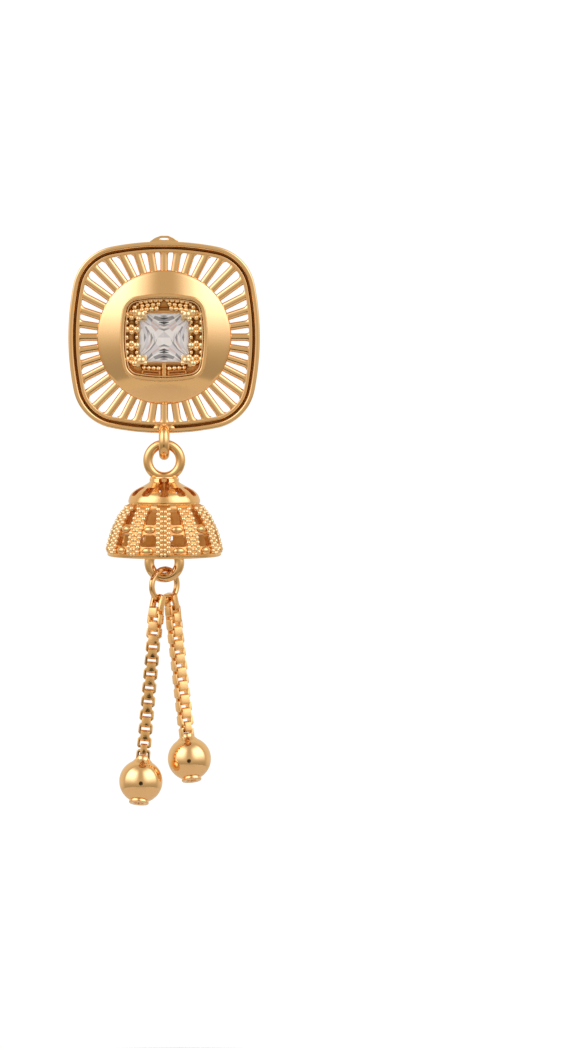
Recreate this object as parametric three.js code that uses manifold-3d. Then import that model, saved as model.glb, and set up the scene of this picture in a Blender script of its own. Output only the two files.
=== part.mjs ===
// Jhumka earring: a pierced cushion-shaped plate with a set stone, a granulated bell that swings under it,
// and two box chains with balls on a jump ring below the bell.
// Millimetres, +Z up, the front faces -Y. The origin is the root of the ear post, in the plane of the plate's
// back.
import * as THREE from "three";
import { ConvexGeometry } from "three/addons/geometries/ConvexGeometry.js";
import { mergeVertices } from "three/addons/utils/BufferGeometryUtils.js";
import Module from "manifold-3d";

const wasm = await Module();
wasm.setup();

// Clearances between separate pieces, and how far soldered pieces run into each other
const hangGap = 0.06;
const seatGap = 0.06;
const weld = 0.08;

// Plate: outline and rim
const plateHalf = 8.8;
const plateSideRadius = 24.8;
const plateCornerRadius = 4.4;
const rimWidth = 0.45;
const rimDepth = 1.85;
const rimRound = 0.16;
const grooveWidth = 0.22;
const ledgeWidth = 0.33;
const ledgeBack = 0.45;
const ledgeFront = 1.25;

// Plate: rays between the disc and the ledge
const rayCount = 40;
const rayWidth = 0.68;
const rayBack = 0.52;
const rayHeight = 0.62;
const rayShoulder = 0.37;

// Plate: disc, bezel and well
const discRadius = 6.18;
const discEdgeBack = 0.5;
const discEdgeFront = 1.42;
const discWall = 0.6;
const discEdgeRound = 0.08;
const bezelHalf = 4.05;
const bezelSideRadius = 14;
const bezelCornerRadius = 1.5;
const bezelWall = 0.38;
const bezelFront = 2.9;
const bezelFoot = 2.3;
const bezelRound = 0.1;
const wellFloor = 0.5;

// Lug on the plate's top edge
const lugWidth = 2.6;
const lugRise = 0.46;
const lugBack = 0.15;
const lugThickness = 0.9;
const lugRows = [
  { up: 0, wide: 0.95 },
  { up: 0.6, wide: 0.62 },
  { up: 1, wide: 0.25 },
];
const lugSlotWidth = 0.84;
const lugSlotHeight = 0.22;

// Loop under the plate that carries the bell
const dropLoopRadius = 1.2;
const dropLoopWire = 0.48;
const dropLoopSink = 0.4;
const dropDepth = 1.72;
const footLobe = 0.5;

// Ear post
const postRadius = 0.45;
const postLength = 11;
const postSocketDepth = 0.3;

// Stone
const stoneHalf = 2.25;
const stoneClip = 0.45;
const stoneTableHalf = 1.35;
const stoneCrown = 0.45;
const stoneGirdle = 0.12;
const stonePavilion = 1.45;
const stoneKeelShare = 0.52;
const stoneKeelDepth = 0.9;
const stoneTableClip = 0.43;
const stoneFront = 2.66;

// Setting
const seatWallWidth = 0.3;
const seatOverhang = 0.05;
const seatHeight = 0.6;
const galleryWidth = 0.9;
const galleryHeight = 0.4;
const prongRadius = 0.25;
const prongTipRadius = 0.32;
const prongTipRise = 0.4;
const prongCover = 0.15;
const lumpLength = 1.1;
const lumpWidth = 0.6;
const lumpHeight = 0.62;
const lumpTilt = THREE.MathUtils.degToRad(20);
const lumpReach = 0.4;
const sideLumps = 4;
const endLumps = 2;
const lumpPitch = 1.36;
const endLumpPitch = 2.1;

// Bell: radii and heights of its outer face, heights as a distance under the neck's top
const neckRadius = 1.3;
const collarRadius = 3.32;
const skirtTopRadius = 3.42;
const mouthRadius = 5.34;
const bellHeight = 7.3;
const collarDrop = 2.6;
const bellWall = 0.42;
const ribRelief = 0.26;
const bandHeight = 0.42;
const bandRelief = 0.16;
const mouthRound = 0.1;
const neckRound = 0.14;
const neckHeight = 0.5;
const neckCap = 0.55;
const neckSlotWidth = 0.92;
const neckSlotTop = 0.18;
const neckSlotBottom = 1.05;

// Bell: ribs, windows, beads and crown openings
const ribCount = 11;
const ribWidth = 1.38;
const ribRows = 8;
const ribValley = 0.3;
const ribOverrun = 0.1;
const upperWindowTop = 2.95;
const upperWindowHeight = 1.3;
const upperWindowWidth = 0.95;
const lowerWindowTop = 5.15;
const lowerWindowHeight = 0.97;
const lowerWindowWidth = 1.45;
const beadLength = 1.0;
const beadHeight = 0.62;
const beadDepth = 0.56;
const crownOpeningWidth = 0.72;
const crownOpeningInner = 1.75;
const crownOpeningOuter = 2.85;
const crownOpeningRows = [
  { out: 1, wide: 0.9 },
  { out: 0, wide: 0.8 },
];

// Bell: top ring, stem and lower loop
const topRingRadius = 1.5;
const topRingWire = 0.44;
const neckSink = 0.05;
const stemRadius = 0.34;
const lowerLoopRadius = 1.38;
const lowerLoopWire = 0.46;
const lowerLoopShow = 2.48;

// Jump ring, an oval turned about the vertical
const jumpHalfWidth = 1.75;
const jumpHalfHeight = 1.5;
const jumpWire = 0.25;
const jumpTurn = THREE.MathUtils.degToRad(50);

// Box chains
const linkAcross = 1.29;
const linkLength = 1.025;
const linkWall = 0.21;
const linkStrip = 0.83;
const linkClip = 0.16;
const linkBite = 0.03;
const endLinkLength = 1.55;
const endLinkStrip = 0.6;
const settleLinks = 6;
const chainRows = [
  { side: "left", links: 22, lean: 5.2, spread: 30, face: 90 },
  { side: "right", links: 19, lean: -6.3, spread: -30, face: 25 },
];

// Balls
const ballRadius = 2.0;
const ballNeckRadius = 0.6;
const ballNeckFlare = 0.95;
const ballNeckHeight = 0.4;
const ballNeckRound = 0.07;
const ballWaistRadius = 0.65;
const ballFootRadius = 0.8;
const ballFootHeight = 0.22;
const ballHoleRadius = 0.42;
const ballHoleDepth = 0.5;
const ballSides = 14;
const ballBands = 6;

// Facets
const wireSides = 8;
const postSides = 12;
const thinWireSides = 6;
const ringSides = 16;
const beadSides = 10;
const beadRows = 3;
const sideSteps = 3;
const cornerSteps = 4;

const gold = new THREE.MeshStandardMaterial({
  color: 0xd8a860,
  roughness: 0.14,
  metalness: 1,
});
const clearStone = new THREE.MeshStandardMaterial({
  color: 0xf2f1f4,
  roughness: 0.03,
  metalness: 0,
});

const axisX = new THREE.Vector3(1, 0, 0);
const axisY = new THREE.Vector3(0, 1, 0);
const axisZ = new THREE.Vector3(0, 0, 1);

// A closed geometry as a manifold solid, with its shared vertices merged and collapsed faces dropped.
function solid(geometry) {
  const bare = geometry.clone();
  bare.deleteAttribute("normal");
  bare.deleteAttribute("uv");
  const merged = mergeVertices(bare, 1e-4);
  const corners = Array.from(merged.index.array);
  const kept = [];
  for (let i = 0; i < corners.length; i += 3) {
    const [a, b, c] = corners.slice(i, i + 3);
    if (a !== b && b !== c && c !== a) kept.push(a, b, c);
  }
  const mesh = new wasm.Mesh({
    numProp: 3,
    vertProperties: merged.attributes.position.array,
    triVerts: new Uint32Array(kept),
  });
  return new wasm.Manifold(mesh);
}

function fused(pieces) {
  return pieces.reduce((whole, piece) => whole.add(piece));
}

function geometryOf(manifold) {
  const mesh = manifold.getMesh();
  const geometry = new THREE.BufferGeometry();
  geometry.setAttribute("position", new THREE.BufferAttribute(mesh.vertProperties, 3));
  geometry.setIndex(new THREE.BufferAttribute(mesh.triVerts, 1));
  geometry.computeVertexNormals();
  return geometry;
}

function named(name, manifold, material) {
  const mesh = new THREE.Mesh(geometryOf(manifold), material);
  mesh.name = name;
  return mesh;
}

function extruded(shape, from, to, round = 0) {
  const geometry = new THREE.ExtrudeGeometry(shape, {
    depth: to - from - 2 * round,
    bevelEnabled: round > 0,
    bevelThickness: round,
    bevelSize: round,
    bevelOffset: -round,
    bevelSegments: 1,
    steps: 1,
  });
  return geometry.translate(0, 0, from + round);
}

function prism(points, from, to) {
  return extruded(new THREE.Shape(points), from, to);
}

// An outline from its right half, which runs upwards.
function mirrored(half) {
  const left = half.map((point) => new THREE.Vector2(-point.x, point.y));
  return [...half, ...left.reverse()];
}

function torus(radius, wire, sides = wireSides) {
  return new THREE.TorusGeometry(radius, wire, sides, ringSides);
}

function bead(length, width, height) {
  const ball = new THREE.SphereGeometry(0.5, beadSides, beadRows);
  return ball.scale(length, width, height);
}

// The cushion outline: four shallow side arcs met by four corner arcs.
class Cushion {
  constructor(half, sideRadius, cornerRadius) {
    this.half = half;
    this.sideRadius = sideRadius;
    this.cornerRadius = cornerRadius;
    this.sideCentre = sideRadius - half;
    const reach = sideRadius - cornerRadius;
    this.corner = (Math.sqrt(2 * reach ** 2 - this.sideCentre ** 2) - this.sideCentre) / 2;
    this.meet = Math.atan2(this.corner, this.corner + this.sideCentre);
  }

  inset(distance) {
    return new Cushion(
      this.half - distance,
      this.sideRadius - distance,
      Math.max(this.cornerRadius - distance, this.cornerRadius / 10),
    );
  }

  points() {
    const points = [];
    const arc = (centre, radius, from, to, steps) => {
      for (let i = 0; i < steps; i++) {
        const angle = from + ((to - from) * i) / steps;
        points.push(new THREE.Vector2(radius * Math.cos(angle), radius * Math.sin(angle)).add(centre));
      }
    };
    for (let quarter = 0; quarter < 4; quarter++) {
      const turn = (quarter * Math.PI) / 2;
      const side = new THREE.Vector2(-this.sideCentre, 0).rotateAround(new THREE.Vector2(), turn);
      const bend = new THREE.Vector2(this.corner, this.corner).rotateAround(new THREE.Vector2(), turn);
      arc(side, this.sideRadius, turn - this.meet, turn + this.meet, sideSteps);
      arc(bend, this.cornerRadius, turn + this.meet, turn + Math.PI / 2 - this.meet, cornerSteps);
    }
    return points;
  }

  shape(hole) {
    const shape = new THREE.Shape(this.points());
    if (hole) shape.holes.push(new THREE.Path(hole.points()));
    return shape;
  }

  // Distance from the centre to the outline in one direction.
  reach(angle) {
    const quarter = Math.PI / 2;
    const folded = THREE.MathUtils.euclideanModulo(angle + quarter / 2, quarter) - quarter / 2;
    const c = Math.cos(folded);
    const s = Math.abs(Math.sin(folded));
    const meetAngle = Math.atan2(
      this.sideRadius * Math.sin(this.meet),
      this.sideRadius * Math.cos(this.meet) - this.sideCentre,
    );
    if (Math.abs(folded) <= meetAngle) {
      return Math.sqrt(this.sideRadius ** 2 - (this.sideCentre * s) ** 2) - this.sideCentre * c;
    }
    return this.corner * (c + s) + Math.sqrt(this.cornerRadius ** 2 - (this.corner * (c - s)) ** 2);
  }
}

const plateOutline = new Cushion(plateHalf, plateSideRadius, plateCornerRadius);
const bezelOutline = new Cushion(bezelHalf, bezelSideRadius, bezelCornerRadius);
const wellOutline = bezelOutline.inset(bezelWall);

// The plate's pieces are drawn face on: X to the right, Y up, Z towards the viewer from the plate's back.
function plateRim() {
  const inner = plateOutline.inset(rimWidth);
  return solid(extruded(plateOutline.shape(inner), 0, rimDepth, rimRound));
}

function plateLedge() {
  const outer = plateOutline.inset(rimWidth - weld);
  const inner = plateOutline.inset(rimWidth + grooveWidth + ledgeWidth);
  const raised = plateOutline.inset(rimWidth + grooveWidth);
  const grooveFloor = (ledgeBack + ledgeFront) / 2;
  return fused([
    solid(extruded(outer.shape(inner), ledgeBack, grooveFloor)),
    solid(extruded(raised.shape(inner), ledgeBack, ledgeFront)),
  ]);
}

function plateRays() {
  const half = rayWidth / 2;
  const section = new THREE.Shape([
    new THREE.Vector2(-half, 0),
    new THREE.Vector2(half, 0),
    new THREE.Vector2(half, rayShoulder),
    new THREE.Vector2(0, rayHeight),
    new THREE.Vector2(-half, rayShoulder),
  ]);
  const ledge = plateOutline.inset(rimWidth + grooveWidth + ledgeWidth - weld);
  const inner = discRadius - 2 * weld;
  const lying = new THREE.Matrix4().makeBasis(axisY, axisZ, axisX);
  const rays = [];
  for (let i = 0; i < rayCount; i++) {
    const angle = (i * 2 * Math.PI) / rayCount;
    const ray = extruded(section, inner, ledge.reach(angle));
    ray.applyMatrix4(lying).translate(0, 0, rayBack).rotateZ(angle);
    rays.push(solid(ray));
  }
  return fused(rays);
}

// A round shape turned about the Z axis from a closed list of radius and height pairs, with the middle of a
// facet in front.
function turned(rows, sides) {
  const profile = rows.map(([radius, height]) => new THREE.Vector2(radius, height));
  return new THREE.LatheGeometry(profile, sides, Math.PI / sides).rotateX(Math.PI / 2);
}

function plateDisc() {
  const inner = bezelHalf - bezelWall - weld;
  const rows = [
    [inner, bezelFoot],
    [inner, bezelFoot - discWall],
    [discRadius - discWall, discEdgeFront - discWall],
    [discRadius - discWall, discEdgeBack],
    [discRadius, discEdgeBack],
    [discRadius, discEdgeFront - discEdgeRound],
    [discRadius - discEdgeRound, discEdgeFront],
    [bezelHalf, bezelFoot],
    [inner, bezelFoot],
  ];
  return solid(turned(rows, rayCount));
}

function plateWell() {
  return solid(extruded(bezelOutline.shape(), 0, bezelFront, bezelRound));
}

function wellCut() {
  return solid(extruded(wellOutline.shape(), wellFloor, bezelFront + 1));
}

function postSocketCut() {
  const radius = postRadius + seatGap;
  const cut = new THREE.CylinderGeometry(radius, radius, 1 + postSocketDepth, postSides);
  return solid(cut.rotateX(Math.PI / 2).translate(0, 0, (postSocketDepth - 1) / 2));
}

function topLug() {
  const half = lugWidth / 2;
  const base = new THREE.Vector2(half, plateHalf - rimWidth);
  const edge = lugRows.map((row) => new THREE.Vector2(half * row.wide, plateHalf + lugRise * row.up));
  return solid(prism(mirrored([base, ...edge]), lugBack, lugBack + lugThickness));
}

function lugSlotCut() {
  const slot = new THREE.CylinderGeometry(0.5, 0.5, rimDepth + 1, beadSides).rotateX(Math.PI / 2);
  slot.scale(lugSlotWidth, lugSlotHeight, 1);
  return solid(slot.translate(0, plateHalf + lugRise / 2, 0));
}

function dropLoop() {
  const ring = torus(dropLoopRadius, dropLoopWire).rotateY(Math.PI / 2);
  return solid(ring.translate(0, dropLoopCentre, dropDepth));
}

// The flared foot that solders the drop loop to the rim: a lobe at each side of a middle one.
function dropLoopFoot() {
  const height = -plateHalf + rimWidth / 2 + dropLoopWire / 2;
  const lobes = [-1, 0, 1].map((side) =>
    solid(bead(footLobe * 2, footLobe * 1.2, footLobe).translate(side * footLobe, height, rimDepth)),
  );
  return fused(lobes);
}

// Heights that the hanging pieces share, each worked out from the piece that it hangs on
const dropLoopCentre = -plateHalf + dropLoopSink - dropLoopRadius;
const dropLoopSeat = dropLoopCentre - dropLoopRadius + dropLoopWire;
const topRingCentre = dropLoopSeat + hangGap - topRingRadius + topRingWire;
const neckTop = topRingCentre - topRingRadius + neckSink;
const mouthHeight = neckTop - bellHeight;
const lowerLoopBottom = mouthHeight - lowerLoopShow;
const lowerLoopCentre = lowerLoopBottom + lowerLoopWire + lowerLoopRadius;
const lowerLoopSeat = lowerLoopBottom + 2 * lowerLoopWire;
const jumpCentre = lowerLoopSeat + hangGap + jumpWire - jumpHalfHeight;

function plateBody() {
  const body = fused([
    plateRim(),
    plateLedge(),
    plateRays(),
    plateDisc(),
    plateWell(),
    topLug(),
    dropLoop(),
    dropLoopFoot(),
  ]);
  return body.subtract(wellCut()).subtract(postSocketCut()).subtract(lugSlotCut());
}

function postBody() {
  const foot = postSocketDepth - seatGap;
  const post = new THREE.CylinderGeometry(postRadius, postRadius, postLength + foot, postSides);
  return solid(post.rotateX(Math.PI / 2).translate(0, 0, foot - (postLength + foot) / 2));
}

// A square with clipped corners, at one depth.
function clippedSquare(half, clip, depth) {
  const corners = [];
  for (let quarter = 0; quarter < 4; quarter++) {
    for (const [x, y] of [[half, half - clip], [half - clip, half]]) {
      corners.push(new THREE.Vector3(x, y, depth).applyAxisAngle(axisZ, (quarter * Math.PI) / 2));
    }
  }
  return corners;
}

const girdleTop = stoneFront - stoneCrown;
const girdleBottom = girdleTop - stoneGirdle;

function stoneBody() {
  const keelHalf = stoneHalf * stoneKeelShare;
  const keelClip = stoneClip * stoneKeelShare;
  return solid(
    new ConvexGeometry([
      ...clippedSquare(stoneTableHalf, stoneTableClip, stoneFront),
      ...clippedSquare(stoneHalf, stoneClip, girdleTop),
      ...clippedSquare(stoneHalf, stoneClip, girdleBottom),
      ...clippedSquare(keelHalf, keelClip, girdleBottom - stoneKeelDepth),
      new THREE.Vector3(0, 0, girdleBottom - stonePavilion),
    ]),
  );
}

function settingSeat() {
  const inner = stoneHalf - seatOverhang;
  const outer = inner + seatWallWidth;
  const shape = new THREE.Shape(square(outer));
  shape.holes.push(new THREE.Path(square(inner)));
  const top = girdleBottom - seatGap;
  return solid(extruded(shape, top - seatHeight, top));
}

function square(half) {
  const corners = [[half, -half], [half, half], [-half, half], [-half, -half]];
  return corners.map(([x, y]) => new THREE.Vector2(x, y));
}

function settingGallery() {
  const outer = wellOutline.inset(seatGap);
  const inner = outer.inset(galleryWidth);
  const base = wellFloor + seatGap;
  return solid(extruded(outer.shape(inner), base, base + galleryHeight));
}

function settingProng(xSide, ySide) {
  const foot = wellFloor + seatGap;
  const out = stoneHalf + prongCover;
  const tip = stoneHalf - prongCover;
  const tipDepth = girdleTop + prongTipRise;
  const shaft = new THREE.CylinderGeometry(prongRadius, prongRadius, tipDepth - foot, wireSides);
  shaft.rotateX(Math.PI / 2).translate(xSide * out, ySide * out, (tipDepth + foot) / 2);
  const ball = bead(2 * prongTipRadius, 2 * prongTipRadius, 2 * prongTipRadius);
  return solid(shaft).add(solid(ball.translate(xSide * tip, ySide * tip, tipDepth)));
}

// Cast lumps of the gallery, which run outwards and down from the seat.
function settingLumps() {
  const reach = stoneHalf - seatOverhang + seatWallWidth;
  const depth = girdleBottom - seatGap - lumpHeight / 2;
  const lumps = [];
  const row = (count, pitch, turn) => {
    for (let i = 0; i < count; i++) {
      const along = (i - (count - 1) / 2) * pitch;
      const lump = bead(lumpLength, lumpWidth, lumpHeight).rotateY(lumpTilt);
      lump.translate(reach + lumpReach, along, depth).rotateZ(turn);
      lumps.push(solid(lump));
    }
  };
  row(sideLumps, lumpPitch, 0);
  row(sideLumps, lumpPitch, Math.PI);
  row(endLumps, endLumpPitch, Math.PI / 2);
  row(endLumps, endLumpPitch, -Math.PI / 2);
  return fused(lumps);
}

function settingBody() {
  const prongs = [[1, 1], [1, -1], [-1, 1], [-1, -1]].map(([x, y]) => settingProng(x, y));
  return fused([settingGallery(), settingSeat(), ...prongs, settingLumps()]);
}

// Outer face of the crown and the collar: distance under the neck's top, and share of the way from the neck's
// radius to the collar's.
const crownRows = [
  { down: 0.89, out: 0.33 },
  { down: 1.26, out: 0.69 },
  { down: 1.63, out: 0.87 },
  { down: 2.3, out: 1 },
];

function crownRadius(row) {
  return THREE.MathUtils.lerp(neckRadius, collarRadius, row.out);
}

// Outer face of the bell between the ribs: share of the height from the skirt's top to the mouth, and of the
// radius that the skirt gains on the way.
const skirtRows = [
  { down: 0.0, out: 0.0 },
  { down: 0.24, out: 0.46 },
  { down: 0.54, out: 0.8 },
  { down: 0.84, out: 1.0 },
];

function skirtRadius(drop) {
  const share = THREE.MathUtils.clamp((drop - collarDrop) / (bellHeight - collarDrop), 0, 1);
  const next = Math.max(1, skirtRows.findIndex((row) => row.down >= share));
  const above = share > skirtRows.at(-1).down ? skirtRows.at(-1) : skirtRows[next - 1];
  const below = share > skirtRows.at(-1).down ? skirtRows.at(-1) : skirtRows[next];
  const span = below.down - above.down || 1;
  const out = above.out + ((below.out - above.out) * (share - above.down)) / span;
  return skirtTopRadius - ribRelief + out * (mouthRadius - skirtTopRadius);
}

function bellShell() {
  const skirt = bellHeight - collarDrop;
  const outer = [
    [0, 0],
    [neckRadius - neckRound, 0],
    [neckRadius, neckRound],
    [neckRadius, neckHeight],
    ...crownRows.map((row) => [crownRadius(row), row.down]),
  ];
  for (const row of skirtRows) {
    const drop = collarDrop + row.down * skirt;
    outer.push([skirtRadius(drop), drop]);
  }
  const band = mouthRadius - ribRelief + bandRelief;
  outer.push([band, bellHeight - bandHeight]);
  outer.push([band, bellHeight - mouthRound]);
  outer.push([mouthRadius - ribRelief, bellHeight]);
  const inner = [
    [mouthRadius - ribRelief - bellWall, bellHeight],
    [mouthRadius - ribRelief - bellWall, bellHeight - bandHeight],
  ];
  for (const row of skirtRows.slice(1, -1).reverse()) {
    const drop = collarDrop + row.down * skirt;
    inner.push([skirtRadius(drop) - bellWall, drop + bellWall / 3]);
  }
  const shoulder = crownRows[1];
  inner.push([crownRadius(shoulder) - bellWall, shoulder.down + bellWall]);
  inner.push([neckRadius - bellWall / 2, neckCap + bellWall]);
  inner.push([0, neckCap + bellWall]);
  const rows = [...outer, ...inner].map(([radius, drop]) => [radius, neckTop - drop]);
  return solid(turned(rows.reverse(), 2 * ribCount));
}

// Shapes made at the front of the bell, copied round it.
function around(count, firstTurn, shapes) {
  const copies = [];
  for (let i = 0; i < count; i++) {
    const turn = firstTurn + (i * 2 * Math.PI) / count;
    for (const shape of shapes) copies.push(solid(shape.clone().rotateZ(turn)));
  }
  return fused(copies);
}

// A rib at the front: a strip over the skirt with a ridge for each row of granules.
function bellRib() {
  const top = collarDrop - ribOverrun;
  const bottom = bellHeight - bandHeight + ribOverrun;
  const pitch = (bottom - top) / ribRows;
  const outline = [];
  for (let i = 0; i <= 2 * ribRows; i++) {
    const drop = top + (i * pitch) / 2;
    const relief = i % 2 ? ribRelief : ribRelief * ribValley;
    outline.push(new THREE.Vector2(-skirtRadius(drop) - relief, neckTop - drop));
  }
  for (const row of [...skirtRows].reverse()) {
    const drop = THREE.MathUtils.lerp(top, bottom, row.down);
    outline.push(new THREE.Vector2(-skirtRadius(drop) + bellWall / 2, neckTop - drop));
  }
  const upright = new THREE.Matrix4().makeBasis(axisY, axisZ, axisX);
  return extruded(new THREE.Shape(outline), -ribWidth / 2, ribWidth / 2).applyMatrix4(upright);
}

function windowCut(top, height, width) {
  const radius = skirtRadius(top + height / 2);
  const box = new THREE.BoxGeometry(width, 4 * bellWall, height);
  return box.translate(0, -radius, neckTop - top - height / 2);
}

function bellBead(drop) {
  const shape = bead(beadLength, beadDepth, beadHeight);
  return shape.translate(0, -skirtRadius(drop), neckTop - drop);
}

function crownCut() {
  const half = crownOpeningWidth / 2;
  const edge = crownOpeningRows.map(({ out, wide }) => {
    const radius = THREE.MathUtils.lerp(crownOpeningInner, crownOpeningOuter, out);
    return new THREE.Vector2(half * wide, -radius);
  });
  return prism(mirrored(edge), neckTop - collarDrop + bellWall / 2, neckTop - neckCap + bellWall / 2);
}

// The slot through the neck, which leaves a leg at each side and shows the stem.
function neckSlotCut() {
  const height = neckSlotBottom - neckSlotTop;
  const box = new THREE.BoxGeometry(neckSlotWidth, 2 * collarRadius, height);
  return solid(box.translate(0, 0, neckTop - neckSlotTop - height / 2));
}

function bellStem() {
  const bottom = lowerLoopCentre + lowerLoopRadius;
  const top = neckTop - neckSlotTop / 2;
  const stem = new THREE.CylinderGeometry(stemRadius, stemRadius, top - bottom, wireSides);
  return solid(stem.rotateX(Math.PI / 2).translate(0, 0, (top + bottom) / 2));
}

function uprightRing(radius, wire, height) {
  return solid(torus(radius, wire).rotateX(Math.PI / 2).translate(0, 0, height));
}

function bellBody() {
  const halfPitch = Math.PI / ribCount;
  const upperBeads = (upperWindowTop + upperWindowHeight + lowerWindowTop) / 2;
  const lowerBeads = (lowerWindowTop + lowerWindowHeight + bellHeight - bandHeight / 2) / 2;
  const windows = [
    windowCut(upperWindowTop, upperWindowHeight, upperWindowWidth),
    windowCut(lowerWindowTop, lowerWindowHeight, lowerWindowWidth),
  ];
  const shell = bellShell()
    .subtract(neckSlotCut())
    .subtract(around(ribCount, 0, [crownCut()]))
    .subtract(around(ribCount, halfPitch, windows));
  return fused([
    shell,
    around(ribCount, 0, [bellRib()]),
    around(ribCount, halfPitch, [bellBead(upperBeads), bellBead(lowerBeads)]),
    bellStem(),
    uprightRing(topRingRadius, topRingWire, topRingCentre),
    uprightRing(lowerLoopRadius, lowerLoopWire, lowerLoopCentre),
  ]);
}

// The oval jump ring stands upright and is turned about the vertical, its left side in front.
function jumpRingBody() {
  const ring = torus(jumpHalfHeight, jumpWire, thinWireSides).rotateX(Math.PI / 2);
  ring.scale(jumpHalfWidth / jumpHalfHeight, 1, 1).rotateZ(jumpTurn);
  return solid(ring.translate(0, 0, jumpCentre));
}

// Place on the jump ring's wire, the direction of the wire there and the direction away from the ring's
// middle.
function jumpSeat(angle) {
  const upright = (x, z) => new THREE.Vector3(x, 0, z).applyAxisAngle(axisZ, jumpTurn);
  const place = upright(jumpHalfWidth * Math.sin(angle), jumpHalfHeight * Math.cos(angle));
  const along = upright(jumpHalfWidth * Math.cos(angle), -jumpHalfHeight * Math.sin(angle)).normalize();
  const outward = upright(jumpHalfHeight * Math.sin(angle), jumpHalfWidth * Math.cos(angle)).normalize();
  return { place: place.setZ(place.z + jumpCentre), along, outward };
}

// A box link drawn in the XY plane: X across, Y along the chain, with the hole's axis along Z.
function linkShape(length, strip) {
  const halfAcross = linkAcross / 2;
  const halfLength = length / 2;
  const outline = [[1, 1], [-1, 1], [-1, -1], [1, -1]].flatMap(([x, y]) => {
    const beside = new THREE.Vector2(x * halfAcross, y * (halfLength - linkClip));
    const beyond = new THREE.Vector2(x * (halfAcross - linkClip), y * halfLength);
    return x * y > 0 ? [beside, beyond] : [beyond, beside];
  });
  const inner = [[1, 1], [-1, 1], [-1, -1], [1, -1]].map(
    ([x, y]) => new THREE.Vector2(x * (halfAcross - linkWall), y * (halfLength - linkWall)),
  );
  const shape = new THREE.Shape(outline);
  shape.holes.push(new THREE.Path(inner));
  return extruded(shape, -strip / 2, strip / 2);
}

// Puts a link, or a ball drawn the same way, with its Y axis up the chain and its Z axis nearest to one
// direction.
function placed(geometry, centre, down, facing) {
  const up = down.clone().negate();
  const hole = facing.clone().addScaledVector(up, -facing.dot(up)).normalize();
  const across = new THREE.Vector3().crossVectors(up, hole);
  const matrix = new THREE.Matrix4().makeBasis(across, up, hole).setPosition(centre);
  return solid(geometry.applyMatrix4(matrix));
}

// Walks down a chain from the jump ring: every link's place and direction, then the seat of the ball.
function chainWalk(row) {
  const seat = jumpSeat(Math.PI + THREE.MathUtils.degToRad(row.spread));
  const lean = THREE.MathUtils.degToRad(row.lean);
  const hang = new THREE.Vector3(-Math.sin(lean), 0, -Math.cos(lean));
  const links = [];
  let from = seat.place.clone();
  let down = seat.outward.clone().add(hang).normalize();
  from.addScaledVector(down, -(jumpWire + hangGap));
  for (let i = 0; i < row.links; i++) {
    const first = i === 0;
    const length = first ? endLinkLength : linkLength;
    const strip = first || i === row.links - 1 ? endLinkStrip : linkStrip;
    const reach = length / 2 - linkWall;
    const settled = Math.min(1, i / settleLinks);
    const face = THREE.MathUtils.lerp(jumpTurn, THREE.MathUtils.degToRad(row.face), settled);
    const turn = face + (i * Math.PI) / 2;
    const facing = first ? seat.along : new THREE.Vector3(Math.cos(turn), Math.sin(turn), 0);
    const bite = first ? 0 : linkBite;
    const centre = from.clone().addScaledVector(down, reach + bite);
    links.push({ centre, down: down.clone(), facing, length, strip });
    from = centre.clone().addScaledVector(down, reach);
    down = hang;
  }
  const endTurn = THREE.MathUtils.degToRad(row.face) + (row.links * Math.PI) / 2;
  const facing = new THREE.Vector3(Math.cos(endTurn), Math.sin(endTurn), 0);
  return { links, end: { from, down: hang, facing } };
}

function chainBody(walk) {
  return fused(
    walk.links.map((link) => placed(linkShape(link.length, link.strip), link.centre, link.down, link.facing)),
  );
}

// A ball turned about its Y axis: neck on top, drilled foot below.
function ballShape() {
  const profile = [
    [0, ballRadius + ballNeckHeight],
    [ballNeckRadius - ballNeckRound, ballRadius + ballNeckHeight],
    [ballNeckRadius, ballRadius + ballNeckHeight - ballNeckRound],
    [ballWaistRadius, ballRadius],
  ];
  const top = Math.asin(ballNeckFlare / ballRadius);
  const bottom = Math.PI - Math.asin(ballFootRadius / ballRadius);
  for (let i = 0; i <= ballBands; i++) {
    const angle = top + ((bottom - top) * i) / ballBands;
    profile.push([ballRadius * Math.sin(angle), ballRadius * Math.cos(angle)]);
  }
  const foot = -ballRadius - ballFootHeight;
  profile.push([ballFootRadius, foot + ballNeckRound]);
  profile.push([ballFootRadius - ballNeckRound, foot]);
  profile.push([ballHoleRadius, foot]);
  profile.push([ballHoleRadius, foot + ballHoleDepth]);
  profile.push([0, foot + ballHoleDepth]);
  const points = profile.map(([radius, height]) => new THREE.Vector2(radius, height));
  return new THREE.LatheGeometry(points.reverse(), ballSides);
}

// The ball hangs from the last link by a staple of the same form, sunk in its neck.
function ballBody(walk) {
  const { from, down, facing } = walk.end;
  const staple = from.clone().addScaledVector(down, linkLength / 2 - linkWall - hangGap);
  const neckTopAlong = linkWall + seatGap;
  const centre = from.clone().addScaledVector(down, neckTopAlong + ballNeckHeight + ballRadius);
  return placed(ballShape(), centre, down, facing).add(
    placed(linkShape(linkLength, endLinkStrip), staple, down, facing),
  );
}

const earring = new THREE.Group();
const plate = new THREE.Group();
plate.rotation.x = Math.PI / 2;
plate.add(named("top_plate", plateBody(), gold));
plate.add(named("stone_setting", settingBody(), gold));
plate.add(named("centre_stone", stoneBody(), clearStone));
plate.add(named("ear_post", postBody(), gold));
earring.add(plate);

const drop = new THREE.Group();
drop.position.y = -dropDepth;
drop.add(named("bell_dome", bellBody(), gold));
drop.add(named("jump_ring", jumpRingBody(), gold));
for (const row of chainRows) {
  const walk = chainWalk(row);
  drop.add(named(`chain_${row.side}`, chainBody(walk), gold));
  drop.add(named(`ball_${row.side}`, ballBody(walk), gold));
}
earring.add(drop);

export default earring;
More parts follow.
